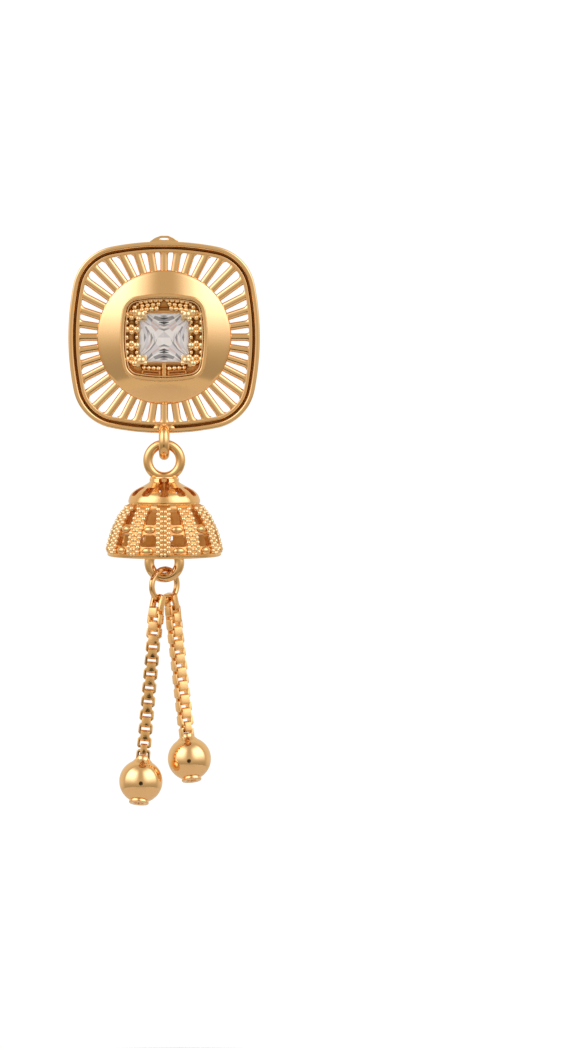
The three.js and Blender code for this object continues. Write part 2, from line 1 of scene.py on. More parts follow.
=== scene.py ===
# Jhumka earring: polished and granulated gold with a cut stone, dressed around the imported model.
import math
import random

import bmesh
import bpy
from mathutils import Matrix, Vector


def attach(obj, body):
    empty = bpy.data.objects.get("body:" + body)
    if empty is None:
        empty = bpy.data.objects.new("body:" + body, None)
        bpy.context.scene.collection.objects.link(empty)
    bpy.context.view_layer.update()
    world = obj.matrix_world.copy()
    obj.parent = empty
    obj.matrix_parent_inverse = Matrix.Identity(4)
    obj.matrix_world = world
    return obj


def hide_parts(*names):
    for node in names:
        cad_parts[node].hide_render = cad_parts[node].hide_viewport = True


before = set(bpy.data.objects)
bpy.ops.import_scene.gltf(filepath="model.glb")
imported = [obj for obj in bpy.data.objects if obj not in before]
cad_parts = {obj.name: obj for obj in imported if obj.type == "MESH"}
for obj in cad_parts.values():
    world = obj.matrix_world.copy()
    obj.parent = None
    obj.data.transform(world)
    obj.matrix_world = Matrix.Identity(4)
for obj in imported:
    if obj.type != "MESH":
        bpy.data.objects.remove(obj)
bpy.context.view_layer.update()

# Sizes in millimetres. The plate's pieces are drawn face on: X right, Y up, Z towards the viewer from the
# plate's back. The hanging pieces are drawn upright about the Z axis at their own heights.
MM = 0.001
DROP_DEPTH = 1.72
FACE_ON = Matrix.Scale(MM, 4) @ Matrix.Rotation(math.radians(90), 4, "X")
HANGING = Matrix.Translation((0, -DROP_DEPTH * MM, 0)) @ Matrix.Scale(MM, 4)
TURN = 2 * math.pi

# Plate
PLATE_HALF = 8.8
PLATE_SIDE_RADIUS = 24.8
PLATE_CORNER_RADIUS = 4.4
RIM_WIDTH = 0.45
RIM_DEPTH = 1.85
RIM_ROUND = 0.15
GROOVE_WIDTH = 0.22
LEDGE_WIDTH = 0.33
LEDGE_BACK = 0.45
LEDGE_ROUND = 0.08
LEDGE_FRONT = 1.55
GROOVE_FLOOR = 0.6
GROOVE_SHADE = 0.15
WELD = 0.08
NEAR = 0.01
RAY_COUNT = 40
RAY_WIDTH = 0.7
RAY_BACK = 0.52
RAY_SIDE = 0.58
RAY_CROWN = 0.24
RAY_CROWN_STEPS = 8
RAY_ROOT = 0.3
RAY_FLARE = ((0.5, 1), (0.3, 1.03), (0.2, 1.1), (0.12, 1.24), (0.06, 1.42), (0, 1.6))
DISC_RADIUS = 6.18
DISC_BACK = 0.5
DISC_EDGE = 1.42
DISC_TOP = 2.3
DISC_WALL = 0.6
DISC_TUCK = 0.12
DISC_FULLNESS = 0.18
DISC_LIP = 0.1
DISC_LIP_ROWS = ((0.03, 0.03), (0, 0.12))
BEZEL_HALF = 4.05
BEZEL_SIDE_RADIUS = 14
BEZEL_CORNER_RADIUS = 1.5
BEZEL_WALL = 0.38
BEZEL_FRONT = 2.9
BEZEL_ROUND = 0.11
WELL_FLOOR = 0.5
WELL_SHADE = 0.3
LUG_HALF = 1.3
LUG_BACK = 0.15
LUG_FRONT = 1.05
LUG_OUTLINE = ((1, 8.35), (0.95, 8.8), (0.62, 9.08), (0.25, 9.26))
LUG_SLOT = (9.03, 0.42, 0.11)
LUG_ROUND = 0.07

# Hanging pieces: heights of what each hangs on
HANG_GAP = 0.06
DROP_LOOP_RADIUS = 1.2
DROP_LOOP_WIRE = 0.48
DROP_LOOP_CENTRE = -9.6
DROP_FOOT_SPREAD = 0.5
DROP_FOOT_SIZE = (1.0, 0.6, 0.5)
TOP_RING_RADIUS = 1.5
TOP_RING_WIRE = 0.44
TOP_RING_CENTRE = -11.32
NECK_TOP = -12.77
NECK_RADIUS = 1.3
COLLAR_RADIUS = 3.32
SKIRT_TOP_RADIUS = 3.42
MOUTH_RADIUS = 5.34
BELL_HEIGHT = 7.3
COLLAR_DROP = 2.6
BELL_WALL = 0.42
RIB_RELIEF = 0.26
BAND_HEIGHT = 0.42
RIB_COUNT = 11
RIB_WIDTH = 1.38
STEM_RADIUS = 0.34
LOWER_LOOP_RADIUS = 1.38
LOWER_LOOP_WIRE = 0.46
LOWER_LOOP_CENTRE = NECK_TOP - BELL_HEIGHT - 2.48 + LOWER_LOOP_WIRE + LOWER_LOOP_RADIUS
JUMP_HALF_WIDTH = 1.75
JUMP_HALF_HEIGHT = 1.5
JUMP_WIRE = 0.25
JUMP_TURN = math.radians(50)
JUMP_CENTRE = (LOWER_LOOP_CENTRE - LOWER_LOOP_RADIUS + LOWER_LOOP_WIRE + HANG_GAP + JUMP_WIRE
               - JUMP_HALF_HEIGHT)

# Box chains and balls
LINK_ACROSS = 1.29
LINK_LENGTH = 1.025
LINK_WALL = 0.21
LINK_THICK = 0.26
LINK_STRIP = 0.83
LINK_FOLD = 0.03
LINK_CLIP = 0.16
LINK_BITE = 0.03
LINK_ROUND = 0.045
END_LINK_LENGTH = 1.55
END_LINK_STRIP = 0.6
SETTLE_LINKS = 6
LINK_TIP = 4.0
LINK_TIP_GROWTH = 3
LINK_UPRIGHT_AT = 0.36
LINK_UNEVEN = 1.8
CHAINS = (
    {"side": "left", "links": 22, "lean": 5.2, "spread": 30, "face": 90},
    {"side": "right", "links": 19, "lean": -6.3, "spread": -30, "face": 25},
)
BALL_RADIUS = 2.0
BALL_NECK_RADIUS = 0.6
BALL_NECK_HEIGHT = 0.4
BALL_FUNNEL = ((0, 0.4), (0.5, 0.4), (0.55, 0.36), (0.56, 0.26), (0.6, 0.14), (0.67, 0.05), (0.77, -0.05),
               (0.87, -0.16))
BALL_FUNNEL_WIDTH = 0.36
BALL_FOOT_ROWS = (
    (0, 0.3), (0.82, 0.3), (0.88, 0.18), (0.92, 0.02), (0.9, -0.06), (0.84, -0.11),
    (0.62, -0.12), (0.5, -0.1), (0.47, -0.06), (0.46, 0), (0, 0),
)
BALL_FOOT_TILT = math.radians(18)
BALL_HOLE_RADIUS = 0.45
BALL_HOLE_TOP = 0.1


# Finishes
def value_mix(nodes, links, kind, factor, low, high):
    mix = nodes.new("ShaderNodeMix")
    mix.data_type = kind
    sockets = [s for s in mix.inputs if s.enabled]
    links.new(factor, sockets[0])
    sockets[1].default_value = low
    sockets[2].default_value = high
    return next(s for s in mix.outputs if s.enabled)


def cloudy(nodes, links, place, scale, detail):
    noise = nodes.new("ShaderNodeTexNoise")
    noise.inputs["Scale"].default_value = scale
    noise.inputs["Detail"].default_value = detail
    links.new(place, noise.inputs["Vector"])
    return noise.outputs["Fac"]


def gold(name, pale, deep, smooth, rough, polish_marks, marks_depth):
    """Plated gold: the plating's tone drifts a little, and fine polishing marks break up its gloss."""
    material = bpy.data.materials.new(name)
    material.use_nodes = True
    nodes, links = material.node_tree.nodes, material.node_tree.links
    shader = nodes["Principled BSDF"]
    shader.inputs["Metallic"].default_value = 1.0
    shader.inputs["Coat Weight"].default_value = 0.35
    shader.inputs["Coat Roughness"].default_value = 0.04
    place = nodes.new("ShaderNodeTexCoord").outputs["Object"]
    tone = cloudy(nodes, links, place, 240, 2)
    links.new(value_mix(nodes, links, "RGBA", tone, (*deep, 1), (*pale, 1)), shader.inputs["Base Color"])
    gloss = cloudy(nodes, links, place, 900, 3)
    links.new(value_mix(nodes, links, "FLOAT", gloss, smooth, rough), shader.inputs["Roughness"])
    bump = nodes.new("ShaderNodeBump")
    bump.inputs["Strength"].default_value = marks_depth
    bump.inputs["Distance"].default_value = 0.00002
    links.new(cloudy(nodes, links, place, polish_marks, 4), bump.inputs["Height"])
    links.new(bump.outputs["Normal"], shader.inputs["Normal"])
    return material


def cut_stone(name):
    """Clear polished stone with a bright surface."""
    material = bpy.data.materials.new(name)
    material.use_nodes = True
    nodes, links = material.node_tree.nodes, material.node_tree.links
    shader = nodes["Principled BSDF"]
    shader.inputs["Transmission Weight"].default_value = 1.0
    shader.inputs["IOR"].default_value = 1.12
    shader.inputs["Roughness"].default_value = 0.0
    shader.inputs["Coat Weight"].default_value = 1.0
    shader.inputs["Coat Roughness"].default_value = 0.0
    place = nodes.new("ShaderNodeTexCoord").outputs["Object"]
    tint = cloudy(nodes, links, place, 500, 1)
    mixed = value_mix(nodes, links, "RGBA", tint, (0.98, 0.95, 0.95, 1), (0.98, 0.98, 1.0, 1))
    links.new(mixed, shader.inputs["Base Color"])
    return material


def painted_reflection_tone(name, pale, deep):
    """One painted reflection tone of the facets at the back of the stone: its lighter and darker facets stand
    in for the stone's sparkle.
    """
    material = bpy.data.materials.new(name)
    material.use_nodes = True
    nodes, links = material.node_tree.nodes, material.node_tree.links
    shader = nodes["Principled BSDF"]
    shader.inputs["Roughness"].default_value = 0.25
    place = nodes.new("ShaderNodeTexCoord").outputs["Object"]
    tint = cloudy(nodes, links, place, 900, 1)
    links.new(value_mix(nodes, links, "RGBA", tint, (*deep, 1), (*pale, 1)), shader.inputs["Base Color"])
    return material


POLISHED = gold("polished_gold", (0.96, 0.64, 0.33), (0.94, 0.60, 0.28), 0.07, 0.12, 2600, 0.05)
RING = gold("ring_gold", (0.88, 0.56, 0.26), (0.84, 0.50, 0.20), 0.07, 0.13, 2600, 0.05)
CAST = gold("cast_gold", (0.94, 0.60, 0.27), (0.91, 0.53, 0.21), 0.12, 0.22, 5200, 0.35)
GRAIN = gold("granulated_gold", (0.99, 0.77, 0.47), (0.96, 0.69, 0.38), 0.12, 0.2, 7000, 0.2)
# Painted shade: a darker, more orange gold for the well, the seat, the bell's crown inside, the skirt between
# the ribs, the strips under the grains and the stem.
PAINTED_HALF_SHADE = gold("half_shade_painted_gold", (0.84, 0.45, 0.16), (0.76, 0.37, 0.11), 0.26, 0.36, 5200, 0.35)
# Painted shade: a rough gold, darker and more orange still, for the bell's inside and the ball's drilled
# hole.
PAINTED_DEEP_SHADE = gold("rough_gold_painted_deep_shade", (0.79, 0.39, 0.11), (0.67, 0.285, 0.06), 0.3, 0.42, 5200, 0.4)
# Painted shade: a dark gold for the plate's groove, where shade falls between rim and ledge.
PAINTED_GROOVE_SHADE = gold("groove_painted_shade_gold", (0.42, 0.21, 0.06), (0.30, 0.13, 0.03), 0.4, 0.5, 5200, 0.3)
STONE = cut_stone("clear_stone")
# Painted reflections: tones for the facets at the back of the stone, which stand in for its sparkle.
PAINTED_REFLECTION_TONES = (
    painted_reflection_tone("white_painted_reflection", (1.0, 1.0, 1.0), (0.97, 0.98, 1.0)),
    painted_reflection_tone("pale_painted_reflection", (0.88, 0.88, 0.93), (0.74, 0.74, 0.80)),
    painted_reflection_tone("pink_painted_reflection", (0.84, 0.70, 0.69), (0.70, 0.56, 0.55)),
    painted_reflection_tone("grey_painted_reflection", (0.42, 0.42, 0.45), (0.28, 0.28, 0.31)),
    painted_reflection_tone("dark_painted_reflection", (0.06, 0.07, 0.08), (0.03, 0.04, 0.05)),
)


# Shapes
def new_shape():
    return bmesh.new()


def piece(name, shape, place, body, material, sharp=35, stands_for=()):
    """Finishes a shape drawn in millimetres as a piece in its place, riding on its body."""
    bmesh.ops.remove_doubles(shape, verts=shape.verts, dist=1e-4)
    bmesh.ops.recalc_face_normals(shape, faces=shape.faces)
    bmesh.ops.transform(shape, matrix=place, verts=shape.verts)
    mesh = bpy.data.meshes.new(name)
    shape.to_mesh(mesh)
    shape.free()
    mesh.shade_smooth()
    mesh.set_sharp_from_angle(angle=math.radians(sharp))
    made = bpy.data.objects.new(name, mesh)
    bpy.context.scene.collection.objects.link(made)
    mesh.materials.append(material)
    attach(made, body)
    if stands_for:
        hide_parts(*stands_for)
    return made


def walled(shape, rings, closed=False):
    """Grows walls from one ring of corners to the next, and returns each ring's edges."""
    corners = [shape.verts.new(point) for point in rings[0]]
    first = corners
    loops = [[shape.edges.new(pair) for pair in zip(corners, corners[1:] + corners[:1])]]
    for ring in rings[1:] + (rings[:1] if closed else []):
        grown = bmesh.ops.extrude_edge_only(shape, edges=loops[-1])["geom"]
        fresh = {part for part in grown if isinstance(part, bmesh.types.BMVert)}
        corners = [next(e.other_vert(v) for e in v.link_edges if e.other_vert(v) in fresh) for v in corners]
        for corner, point in zip(corners, ring):
            corner.co = point
        edges = [part for part in grown if isinstance(part, bmesh.types.BMEdge)]
        loops.append([edge for edge in edges if fresh.issuperset(edge.verts)])
    if closed:
        bmesh.ops.remove_doubles(shape, verts=first + corners, dist=1e-5)
    return loops


def capped(shape, loop):
    """Closes a loop of edges with one face."""
    bmesh.ops.contextual_create(shape, geom=loop)


def softened(shape, width, segments=2, over=35, where=None):
    """Rounds the edges that are sharper than an angle."""
    limit = math.radians(over)
    edges = [e for e in shape.edges if e.is_manifold and e.calc_face_angle(0) > limit]
    if where:
        edges = [e for e in edges if where(e)]
    bmesh.ops.bevel(shape, geom=edges, offset=width, offset_type="OFFSET", segments=segments, profile=0.5,
                    affect="EDGES", clamp_overlap=True, material=-1)


def turned(shape, rows, steps, closed=False):
    """Spins a profile of radius and height pairs about the Z axis, starting in front."""
    corners = [shape.verts.new((0, -radius, height)) for radius, height in rows]
    pairs = list(zip(corners, corners[1:])) + ([(corners[-1], corners[0])] if closed else [])
    edges = [shape.edges.new(pair) for pair in pairs]
    bmesh.ops.spin(shape, geom=corners + edges, cent=(0, 0, 0), axis=(0, 0, 1), angle=TURN, steps=steps,
                   use_merge=True)


def wire_ring(shape, radius, wire, place, steps=72, sides=20):
    """A ring of round wire in the XZ plane before it is placed."""
    ring = new_shape()
    circle = bmesh.ops.create_circle(ring, radius=wire, segments=sides,
                                     matrix=Matrix.Translation((radius, 0, 0)))["verts"]
    edges = list({edge for corner in circle for edge in corner.link_edges})
    bmesh.ops.spin(ring, geom=circle + edges, cent=(0, 0, 0), axis=(0, 1, 0), angle=TURN, steps=steps,
                   use_merge=True)
    joined(shape, ring, place)


def joined(shape, other, place):
    """Adds a finished shape to another one."""
    bmesh.ops.transform(other, matrix=place, verts=other.verts)
    mesh = bpy.data.meshes.new("joined")
    other.to_mesh(mesh)
    other.free()
    shape.from_mesh(mesh)
    bpy.data.meshes.remove(mesh)


def bead(shape, centre, size, turn=0.0, sides=12, rows=8):
    """A round or oval grain."""
    place = (Matrix.Translation(centre) @ Matrix.Rotation(turn, 4, "Z")
             @ Matrix.Diagonal((size[0] / 2, size[1] / 2, size[2] / 2, 1)))
    grain = new_shape()
    bmesh.ops.create_uvsphere(grain, u_segments=sides, v_segments=rows, radius=1)
    joined(shape, grain, place)


def rod(shape, start, end, radius, sides=16):
    """A round bar between two points."""
    start, end = Vector(start), Vector(end)
    along = end - start
    place = Matrix.Translation((start + end) / 2) @ along.to_track_quat("Z", "Y").to_matrix().to_4x4()
    bmesh.ops.create_cone(shape, cap_ends=True, segments=sides, radius1=radius, radius2=radius,
                          depth=along.length, matrix=place)


def lerp(start, end, share):
    return start + (end - start) * share


# Cushion outlines
class Cushion:
    """Four shallow side arcs met by four corner arcs."""

    def __init__(self, half, side_radius, corner_radius):
        self.half, self.side_radius, self.corner_radius = half, side_radius, corner_radius
        self.side_centre = side_radius - half
        reach = side_radius - corner_radius
        self.corner = (math.sqrt(2 * reach ** 2 - self.side_centre ** 2) - self.side_centre) / 2
        self.meet = math.atan2(self.corner, self.corner + self.side_centre)

    def inset(self, distance):
        return Cushion(self.half - distance, self.side_radius - distance,
                       max(self.corner_radius - distance, self.corner_radius / 10))

    def points(self, height, side_steps=26, corner_steps=16):
        made = []
        for quarter in range(4):
            turn = Matrix.Rotation(quarter * math.pi / 2, 3, "Z")
            arcs = (
                (Vector((-self.side_centre, 0, height)), self.side_radius, -self.meet, self.meet, side_steps),
                (Vector((self.corner, self.corner, height)), self.corner_radius, self.meet,
                 math.pi / 2 - self.meet, corner_steps),
            )
            for centre, radius, first, last, steps in arcs:
                for i in range(steps):
                    angle = lerp(first, last, i / steps)
                    spoke = Vector((radius * math.cos(angle), radius * math.sin(angle), 0))
                    made.append(turn @ (centre + spoke))
        return made

    def reach(self, angle):
        """How far the outline lies from the middle in one direction."""
        quarter = math.pi / 2
        folded = (angle + quarter / 2) % quarter - quarter / 2
        c, s = math.cos(folded), abs(math.sin(folded))
        meet_angle = math.atan2(self.side_radius * math.sin(self.meet),
                                self.side_radius * math.cos(self.meet) - self.side_centre)
        if abs(folded) <= meet_angle:
            return math.sqrt(self.side_radius ** 2 - (self.side_centre * s) ** 2) - self.side_centre * c
        return self.corner * (c + s) + math.sqrt(self.corner_radius ** 2 - (self.corner * (c - s)) ** 2)


PLATE = Cushion(PLATE_HALF, PLATE_SIDE_RADIUS, PLATE_CORNER_RADIUS)
BEZEL = Cushion(BEZEL_HALF, BEZEL_SIDE_RADIUS, BEZEL_CORNER_RADIUS)


def swept(shape, outline, rows):
    """A closed section of inset and height pairs, carried round a cushion outline."""
    walled(shape, [outline.inset(inset).points(height) for inset, height in rows], closed=True)


# Plate
def make_rim():
    shape = new_shape()
    swept(shape, PLATE, [(0, 0), (0, RIM_DEPTH), (RIM_WIDTH, RIM_DEPTH), (RIM_WIDTH, 0)])
    softened(shape, RIM_ROUND, 4)
    return piece("plate_rim", shape, FACE_ON, "plate", POLISHED, stands_for=("top_plate",))


def make_ledge():
    """The ledge behind the groove, in which the rays end."""
    shape = new_shape()
    groove = RIM_WIDTH + GROOVE_WIDTH
    inner = groove + LEDGE_WIDTH
    swept(shape, PLATE, [
        (RIM_WIDTH - WELD, LEDGE_BACK), (RIM_WIDTH - WELD, GROOVE_FLOOR), (groove, GROOVE_FLOOR),
        (groove, LEDGE_FRONT), (inner, LEDGE_FRONT), (inner, LEDGE_BACK),
    ])
    softened(shape, LEDGE_ROUND, 3)
    # Painted shade: the groove's floor and walls, below the ledge's front, take the dark groove gold.
    for face in shape.faces:
        middle = face.calc_center_median()
        depth = PLATE.reach(math.atan2(middle.y, middle.x)) - math.hypot(middle.x, middle.y)
        if depth < groove + NEAR and middle.z < LEDGE_FRONT - GROOVE_SHADE:
            face.material_index = 1
    made = piece("plate_ledge", shape, FACE_ON, "plate", POLISHED)
    made.data.materials.append(PAINTED_GROOVE_SHADE)
    return made


def make_rays():
    """Bars with rounded tops between the disc and the ledge, which flare where they meet it."""
    shape = new_shape()
    half = RAY_WIDTH / 2
    section = [(-half, RAY_BACK), (half, RAY_BACK), (half, RAY_BACK + RAY_SIDE)]
    section += [(half * math.cos(a), RAY_BACK + RAY_SIDE + RAY_CROWN * math.sin(a))
                for a in (math.pi * k / RAY_CROWN_STEPS for k in range(1, RAY_CROWN_STEPS))]
    section.append((-half, RAY_BACK + RAY_SIDE))
    ledge = PLATE.inset(RIM_WIDTH + GROOVE_WIDTH + LEDGE_WIDTH - WELD)
    for i in range(RAY_COUNT):
        angle = i * TURN / RAY_COUNT
        turn = Matrix.Rotation(angle, 4, "Z")
        reach = ledge.reach(angle)
        stations = [(DISC_RADIUS - RAY_ROOT, 1)] + [(reach - back, wide) for back, wide in RAY_FLARE]
        rings = [[turn @ Vector((x, y * wide, z)) for y, z in section] for x, wide in stations]
        loops = walled(shape, rings)
        capped(shape, loops[0])
        capped(shape, loops[-1])
    return piece("plate_rays", shape, FACE_ON, "plate", POLISHED, sharp=50)


def make_disc():
    """The polished cone between the rays and the bezel, a little fuller towards its edge."""
    shape = new_shape()
    steps, around = 8, 320
    inside = BEZEL.inset(DISC_TUCK)

    def ring(share, height=None):
        made = []
        for k in range(around):
            angle = k * TURN / around
            radius = lerp(inside.reach(angle), DISC_RADIUS - DISC_LIP, share)
            fall = (radius - BEZEL_HALF) / (DISC_RADIUS - BEZEL_HALF)
            fall = (1 - DISC_FULLNESS) * fall + DISC_FULLNESS * fall * abs(fall)
            up = lerp(DISC_TOP, DISC_EDGE, fall) if height is None else height
            made.append((radius * math.cos(angle), radius * math.sin(angle), up))
        return made

    def circle(radius, height):
        return [(radius * math.cos(k * TURN / around), radius * math.sin(k * TURN / around), height)
                for k in range(around)]

    rings = [ring(i / steps) for i in range(steps + 1)]
    rings += [circle(DISC_RADIUS - back, DISC_EDGE - down) for back, down in DISC_LIP_ROWS]
    rings += [circle(DISC_RADIUS, DISC_BACK), circle(DISC_RADIUS - DISC_WALL, DISC_BACK), ring(0, DISC_BACK)]
    walled(shape, rings, closed=True)
    return piece("plate_disc", shape, FACE_ON, "plate", POLISHED)


def make_bezel():
    """The raised edge round the well, with the well's walls and floor."""
    shape = new_shape()
    inner = BEZEL.inset(BEZEL_WALL)
    loops = walled(shape, [BEZEL.points(0), BEZEL.points(BEZEL_FRONT), inner.points(BEZEL_FRONT),
                            inner.points(WELL_FLOOR)])
    capped(shape, loops[0])
    capped(shape, loops[-1])
    softened(shape, BEZEL_ROUND, 4, where=lambda e: e.verts[0].co.z > BEZEL_FRONT - BEZEL_ROUND)
    # Painted shade: the well's walls and floor take the half-shade gold.
    for face in shape.faces:
        middle = face.calc_center_median()
        across = max(abs(middle.x), abs(middle.y))
        if across < BEZEL_HALF - WELL_SHADE and middle.z < BEZEL_FRONT - WELL_SHADE:
            face.material_index = 1
    made = piece("plate_bezel", shape, FACE_ON, "plate", POLISHED)
    made.data.materials.append(PAINTED_HALF_SHADE)
    return made


def make_lug():
    """The small pierced lug behind the plate's top edge."""
    shape = new_shape()
    right = [(LUG_HALF * share, height) for share, height in LUG_OUTLINE]
    left = [(-x, y) for x, y in reversed(right)]
    outline = left[-1:] + right + left[:-1]
    middle, wide, high = LUG_SLOT
    slot = [(wide * math.cos(a), middle + high * math.sin(a)) for a in (TURN * k / 16 for k in range(16))]
    for ring in (outline, slot):
        walled(shape, [[(x, y, LUG_BACK) for x, y in ring], [(x, y, LUG_FRONT) for x, y in ring]])
    for depth in (LUG_BACK, LUG_FRONT):
        edges = [e for e in shape.edges if all(abs(v.co.z - depth) < 1e-6 for v in e.verts)]
        bmesh.ops.triangle_fill(shape, edges=edges, use_beauty=True)
    bmesh.ops.dissolve_limit(shape, angle_limit=0.01, verts=shape.verts, edges=shape.edges)
    softened(shape, LUG_ROUND, 3, over=60)
    return piece("plate_lug", shape, FACE_ON, "plate", POLISHED)


def make_drop_loop():
    """The loop under the plate, seen edge on, and its flared foot on the rim."""
    shape = new_shape()
    place = (Matrix.Translation((0, DROP_LOOP_CENTRE, DROP_DEPTH)) @ Matrix.Rotation(math.pi / 2, 4, "Y")
             @ Matrix.Rotation(math.pi / 2, 4, "X"))
    wire_ring(shape, DROP_LOOP_RADIUS, DROP_LOOP_WIRE, place)
    height = -PLATE_HALF + RIM_WIDTH / 2 + DROP_LOOP_WIRE / 2
    for side in (-1, 0, 1):
        bead(shape, (side * DROP_FOOT_SPREAD, height, RIM_DEPTH), DROP_FOOT_SIZE, 0, 20, 12)
    return piece("drop_loop", shape, FACE_ON, "plate", RING)


def gild_post():
    """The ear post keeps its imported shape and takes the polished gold."""
    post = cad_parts["ear_post"]
    post.data.materials.clear()
    post.data.materials.append(POLISHED)


# Stone and setting
STONE_HALF = 2.25
STONE_FRONT = 2.66
GIRDLE_TOP = 2.21
GIRDLE_BOTTOM = 2.09
# Rows of the stone's corners: half width, clipped corner, height and whether they lie between the corners
STONE_ROWS = (
    (1.42, 0.42, STONE_FRONT, False),
    (1.9, 0.62, lerp(GIRDLE_TOP, STONE_FRONT, 0.52), True),
    (STONE_HALF, 0.45, GIRDLE_TOP, False),
    (STONE_HALF, 0.45, GIRDLE_BOTTOM, False),
    (1.86, 0.6, GIRDLE_BOTTOM - 0.52, True),
    (1.3, 0.36, GIRDLE_BOTTOM - 0.9, False),
    (0.78, 0.3, GIRDLE_BOTTOM - 1.2, True),
)
STONE_DEPTH = 1.45
SEAT_GAP = 0.06
SEAT_OUTSIDE = 0.25
SEAT_INSIDE = 0.05
SEAT_LOW = 1.43
SEAT_HIGH = 2.03
SEAT_ROUND = 0.06
GALLERY_WIDTH = 0.9
GALLERY_HEIGHT = 0.4

# The setting's corner prongs, each with its grains: where they lie from the middle, and their sizes
PRONG_OUT = 2.4
PRONG_TOP = 2.6
PRONG_RADIUS = 0.25
LIP_PLACE = (2.0, 2.0, 2.42)
LIP_SIZE = (0.86, 0.86, 0.34)
LIP_ROUND = 0.08
PRONG_GRAINS = (
    ((2.08, 2.1, 2.6), (0.74, 0.74, 0.44)),
    ((1.74, 2.32, 2.56), (0.46, 0.5, 0.4)),
    ((2.34, 1.74, 2.56), (0.5, 0.46, 0.4)),
    ((2.7, 2.36, 2.48), (0.6, 0.62, 0.5)),
)

# The gallery's grains on the right, mirrored on the left. In a side row or gap they are charted from its
# own height.
GRAIN_FULLNESS = 1.14
SIDE_ROWS = (2.1, 0.76, -0.72, -2.0)
ROW_GRAINS = (
    ((2.52, 0, 2.2), (0.62, 0.66, 0.7)),
    ((2.98, 0.25, 2.12), (0.54, 0.52, 0.66)),
    ((2.98, -0.25, 2.12), (0.54, 0.52, 0.66)),
    ((3.4, 0, 2.12), (0.5, 0.62, 0.66)),
)
SIDE_GAPS = (1.43, 0.02, -1.36)
GAP_GRAINS = (
    ((2.5, 0, 1.95), (0.4, 0.46, 0.5)),
    ((3.42, 0, 2.2), (0.4, 0.46, 0.5)),
)
CORNER_GRAINS = (
    ((2.72, 2.8, 2.1), (0.48, 0.48, 0.54)),
    ((2.9, 2.45, 2.1), (0.4, 0.4, 0.5)),
    ((2.45, 3.06, 2.0), (0.4, 0.4, 0.5)),
)
# Rows along the top and the bottom: grains a side, the first one's place, size, steps across and up, bend
LONG_ROWS = (
    (4, (0.66, 2.68, 2.14), (0.48, 0.46, 0.62), (0.46, -0.04), 0),
    (4, (0.5, -2.84, 2.04), (0.44, 0.42, 0.56), (0.46, 0.03), 0),
    (4, (0.5, 3.1, 2.1), (0.46, 0.42, 0.56), (0.5, -0.06), 0),
    (5, (0.3, 3.43, 2.26), (0.44, 0.32, 0.44), (0.46, 0), -0.012),
)

# The gallery's rails and posts on the right, mirrored on the left: both ends and the radius
RAILS = (
    ((0.5, -3.12, 1.95), (1.95, -3.02, 1.95), 0.08),
    ((0.5, -3.38, 1.9), (1.9, -3.3, 1.9), 0.08),
    ((1.95, -3.0, 1.95), (2.05, -3.36, 1.9), 0.09),
    ((0.42, -3.0, 1.95), (0.42, -3.45, 1.9), 0.1),
    *(((2.45, height, 1.9), (3.5, height + 0.05, 1.75), 0.2) for height in SIDE_ROWS),
    ((0.7, 2.62, 1.8), (2.0, 2.55, 1.8), 0.2),
    ((0.55, -2.85, 1.8), (1.95, -2.78, 1.8), 0.16),
)
MIDDLE_POST = ((0, -2.3, 1.9), (0, -3.5, 1.85), 0.26)
WELL_WIRE_HEIGHT = 2.42
WELL_WIRE_INSET = 0.12
WIRE_HALF = 0.06


def facet_row(half, clip, depth, between=False):
    """Corners of a clipped square, or the middles of its sides and clips."""
    made = []
    for quarter in range(4):
        turn = Matrix.Rotation(quarter * math.pi / 2, 3, "Z")
        if between:
            spots = ((half, 0), (half - clip / 2, half - clip / 2))
        else:
            spots = ((half, half - clip), (half - clip, half))
        made += [turn @ Vector((x, y, depth)) for x, y in spots]
    return made


def make_stone():
    """A clear square stone with clipped corners: table, star and crown facets, girdle and pavilion."""
    shape = new_shape()
    corners = []
    for half, clip, height, between in STONE_ROWS:
        corners += facet_row(half, clip, height, between)
    corners.append(Vector((0, 0, GIRDLE_BOTTOM - STONE_DEPTH)))
    made = [shape.verts.new(corner) for corner in corners]
    hull = bmesh.ops.convex_hull(shape, input=made)
    spare = [v for v in hull["geom_interior"] + hull["geom_unused"] if isinstance(v, bmesh.types.BMVert)]
    bmesh.ops.delete(shape, geom=list(set(spare)), context="VERTS")
    bmesh.ops.dissolve_limit(shape, angle_limit=math.radians(0.5), verts=shape.verts, edges=shape.edges)
    return piece("set_stone", shape, FACE_ON, "plate", STONE, sharp=1,
                 stands_for=("centre_stone",))


# Indices of the painted reflection tones.
WHITE, PALE, PINK, GREY, DARK = range(5)

# The cut of the stone's back: crescents on each side, nested from the middle out to the girdle, that run
# from corner to corner. Each has a tip on the side's axis with a small pair of facets beside it, and two
# more facets on either hand.
# The facets' tones are painted reflections: white, pale, pink, grey and dark stand in for the light the stone
# would mirror.
CRESCENTS = 8
CRESCENT_REACH = 2.24
CRESCENT_WIDTH = 1.84
CRESCENT_NARROWS = 0.45
CRESCENT_CURVE = 1.9
CRESCENT_CUTS = (0.0, 0.3, 0.6, 1.0)
CULET_RADIUS = 0.6
CULET_DEPTH = 0.32
DARK_TIPS = {1: (3, 5), 3: (2, 3, 5)}
TIP_TONES = (WHITE, PALE, GREY)
END_TIP_TONES = (GREY, WHITE)
WARM_STAR = (WHITE, PINK, PALE)
COLD_STAR = (WHITE, PALE, PALE)
# Shares of white, pale, pink and grey painted reflection tones on a side's hands, each with the seed of its
# draw
BRIGHT_DRAW = (2, (7, 3, 1, 1))
DIM_DRAW = (8, (3, 5, 3, 1))
END_DRAW = (5, (6, 3, 1, 2))


def tone_draw(seed, shares):
    """Tones for one hand of a side's crescents, drawn by a seeded chance."""
    chance = random.Random(seed)
    return [chance.choices((WHITE, PALE, PINK, GREY), shares, k=2) for _ in range(CRESCENTS)]


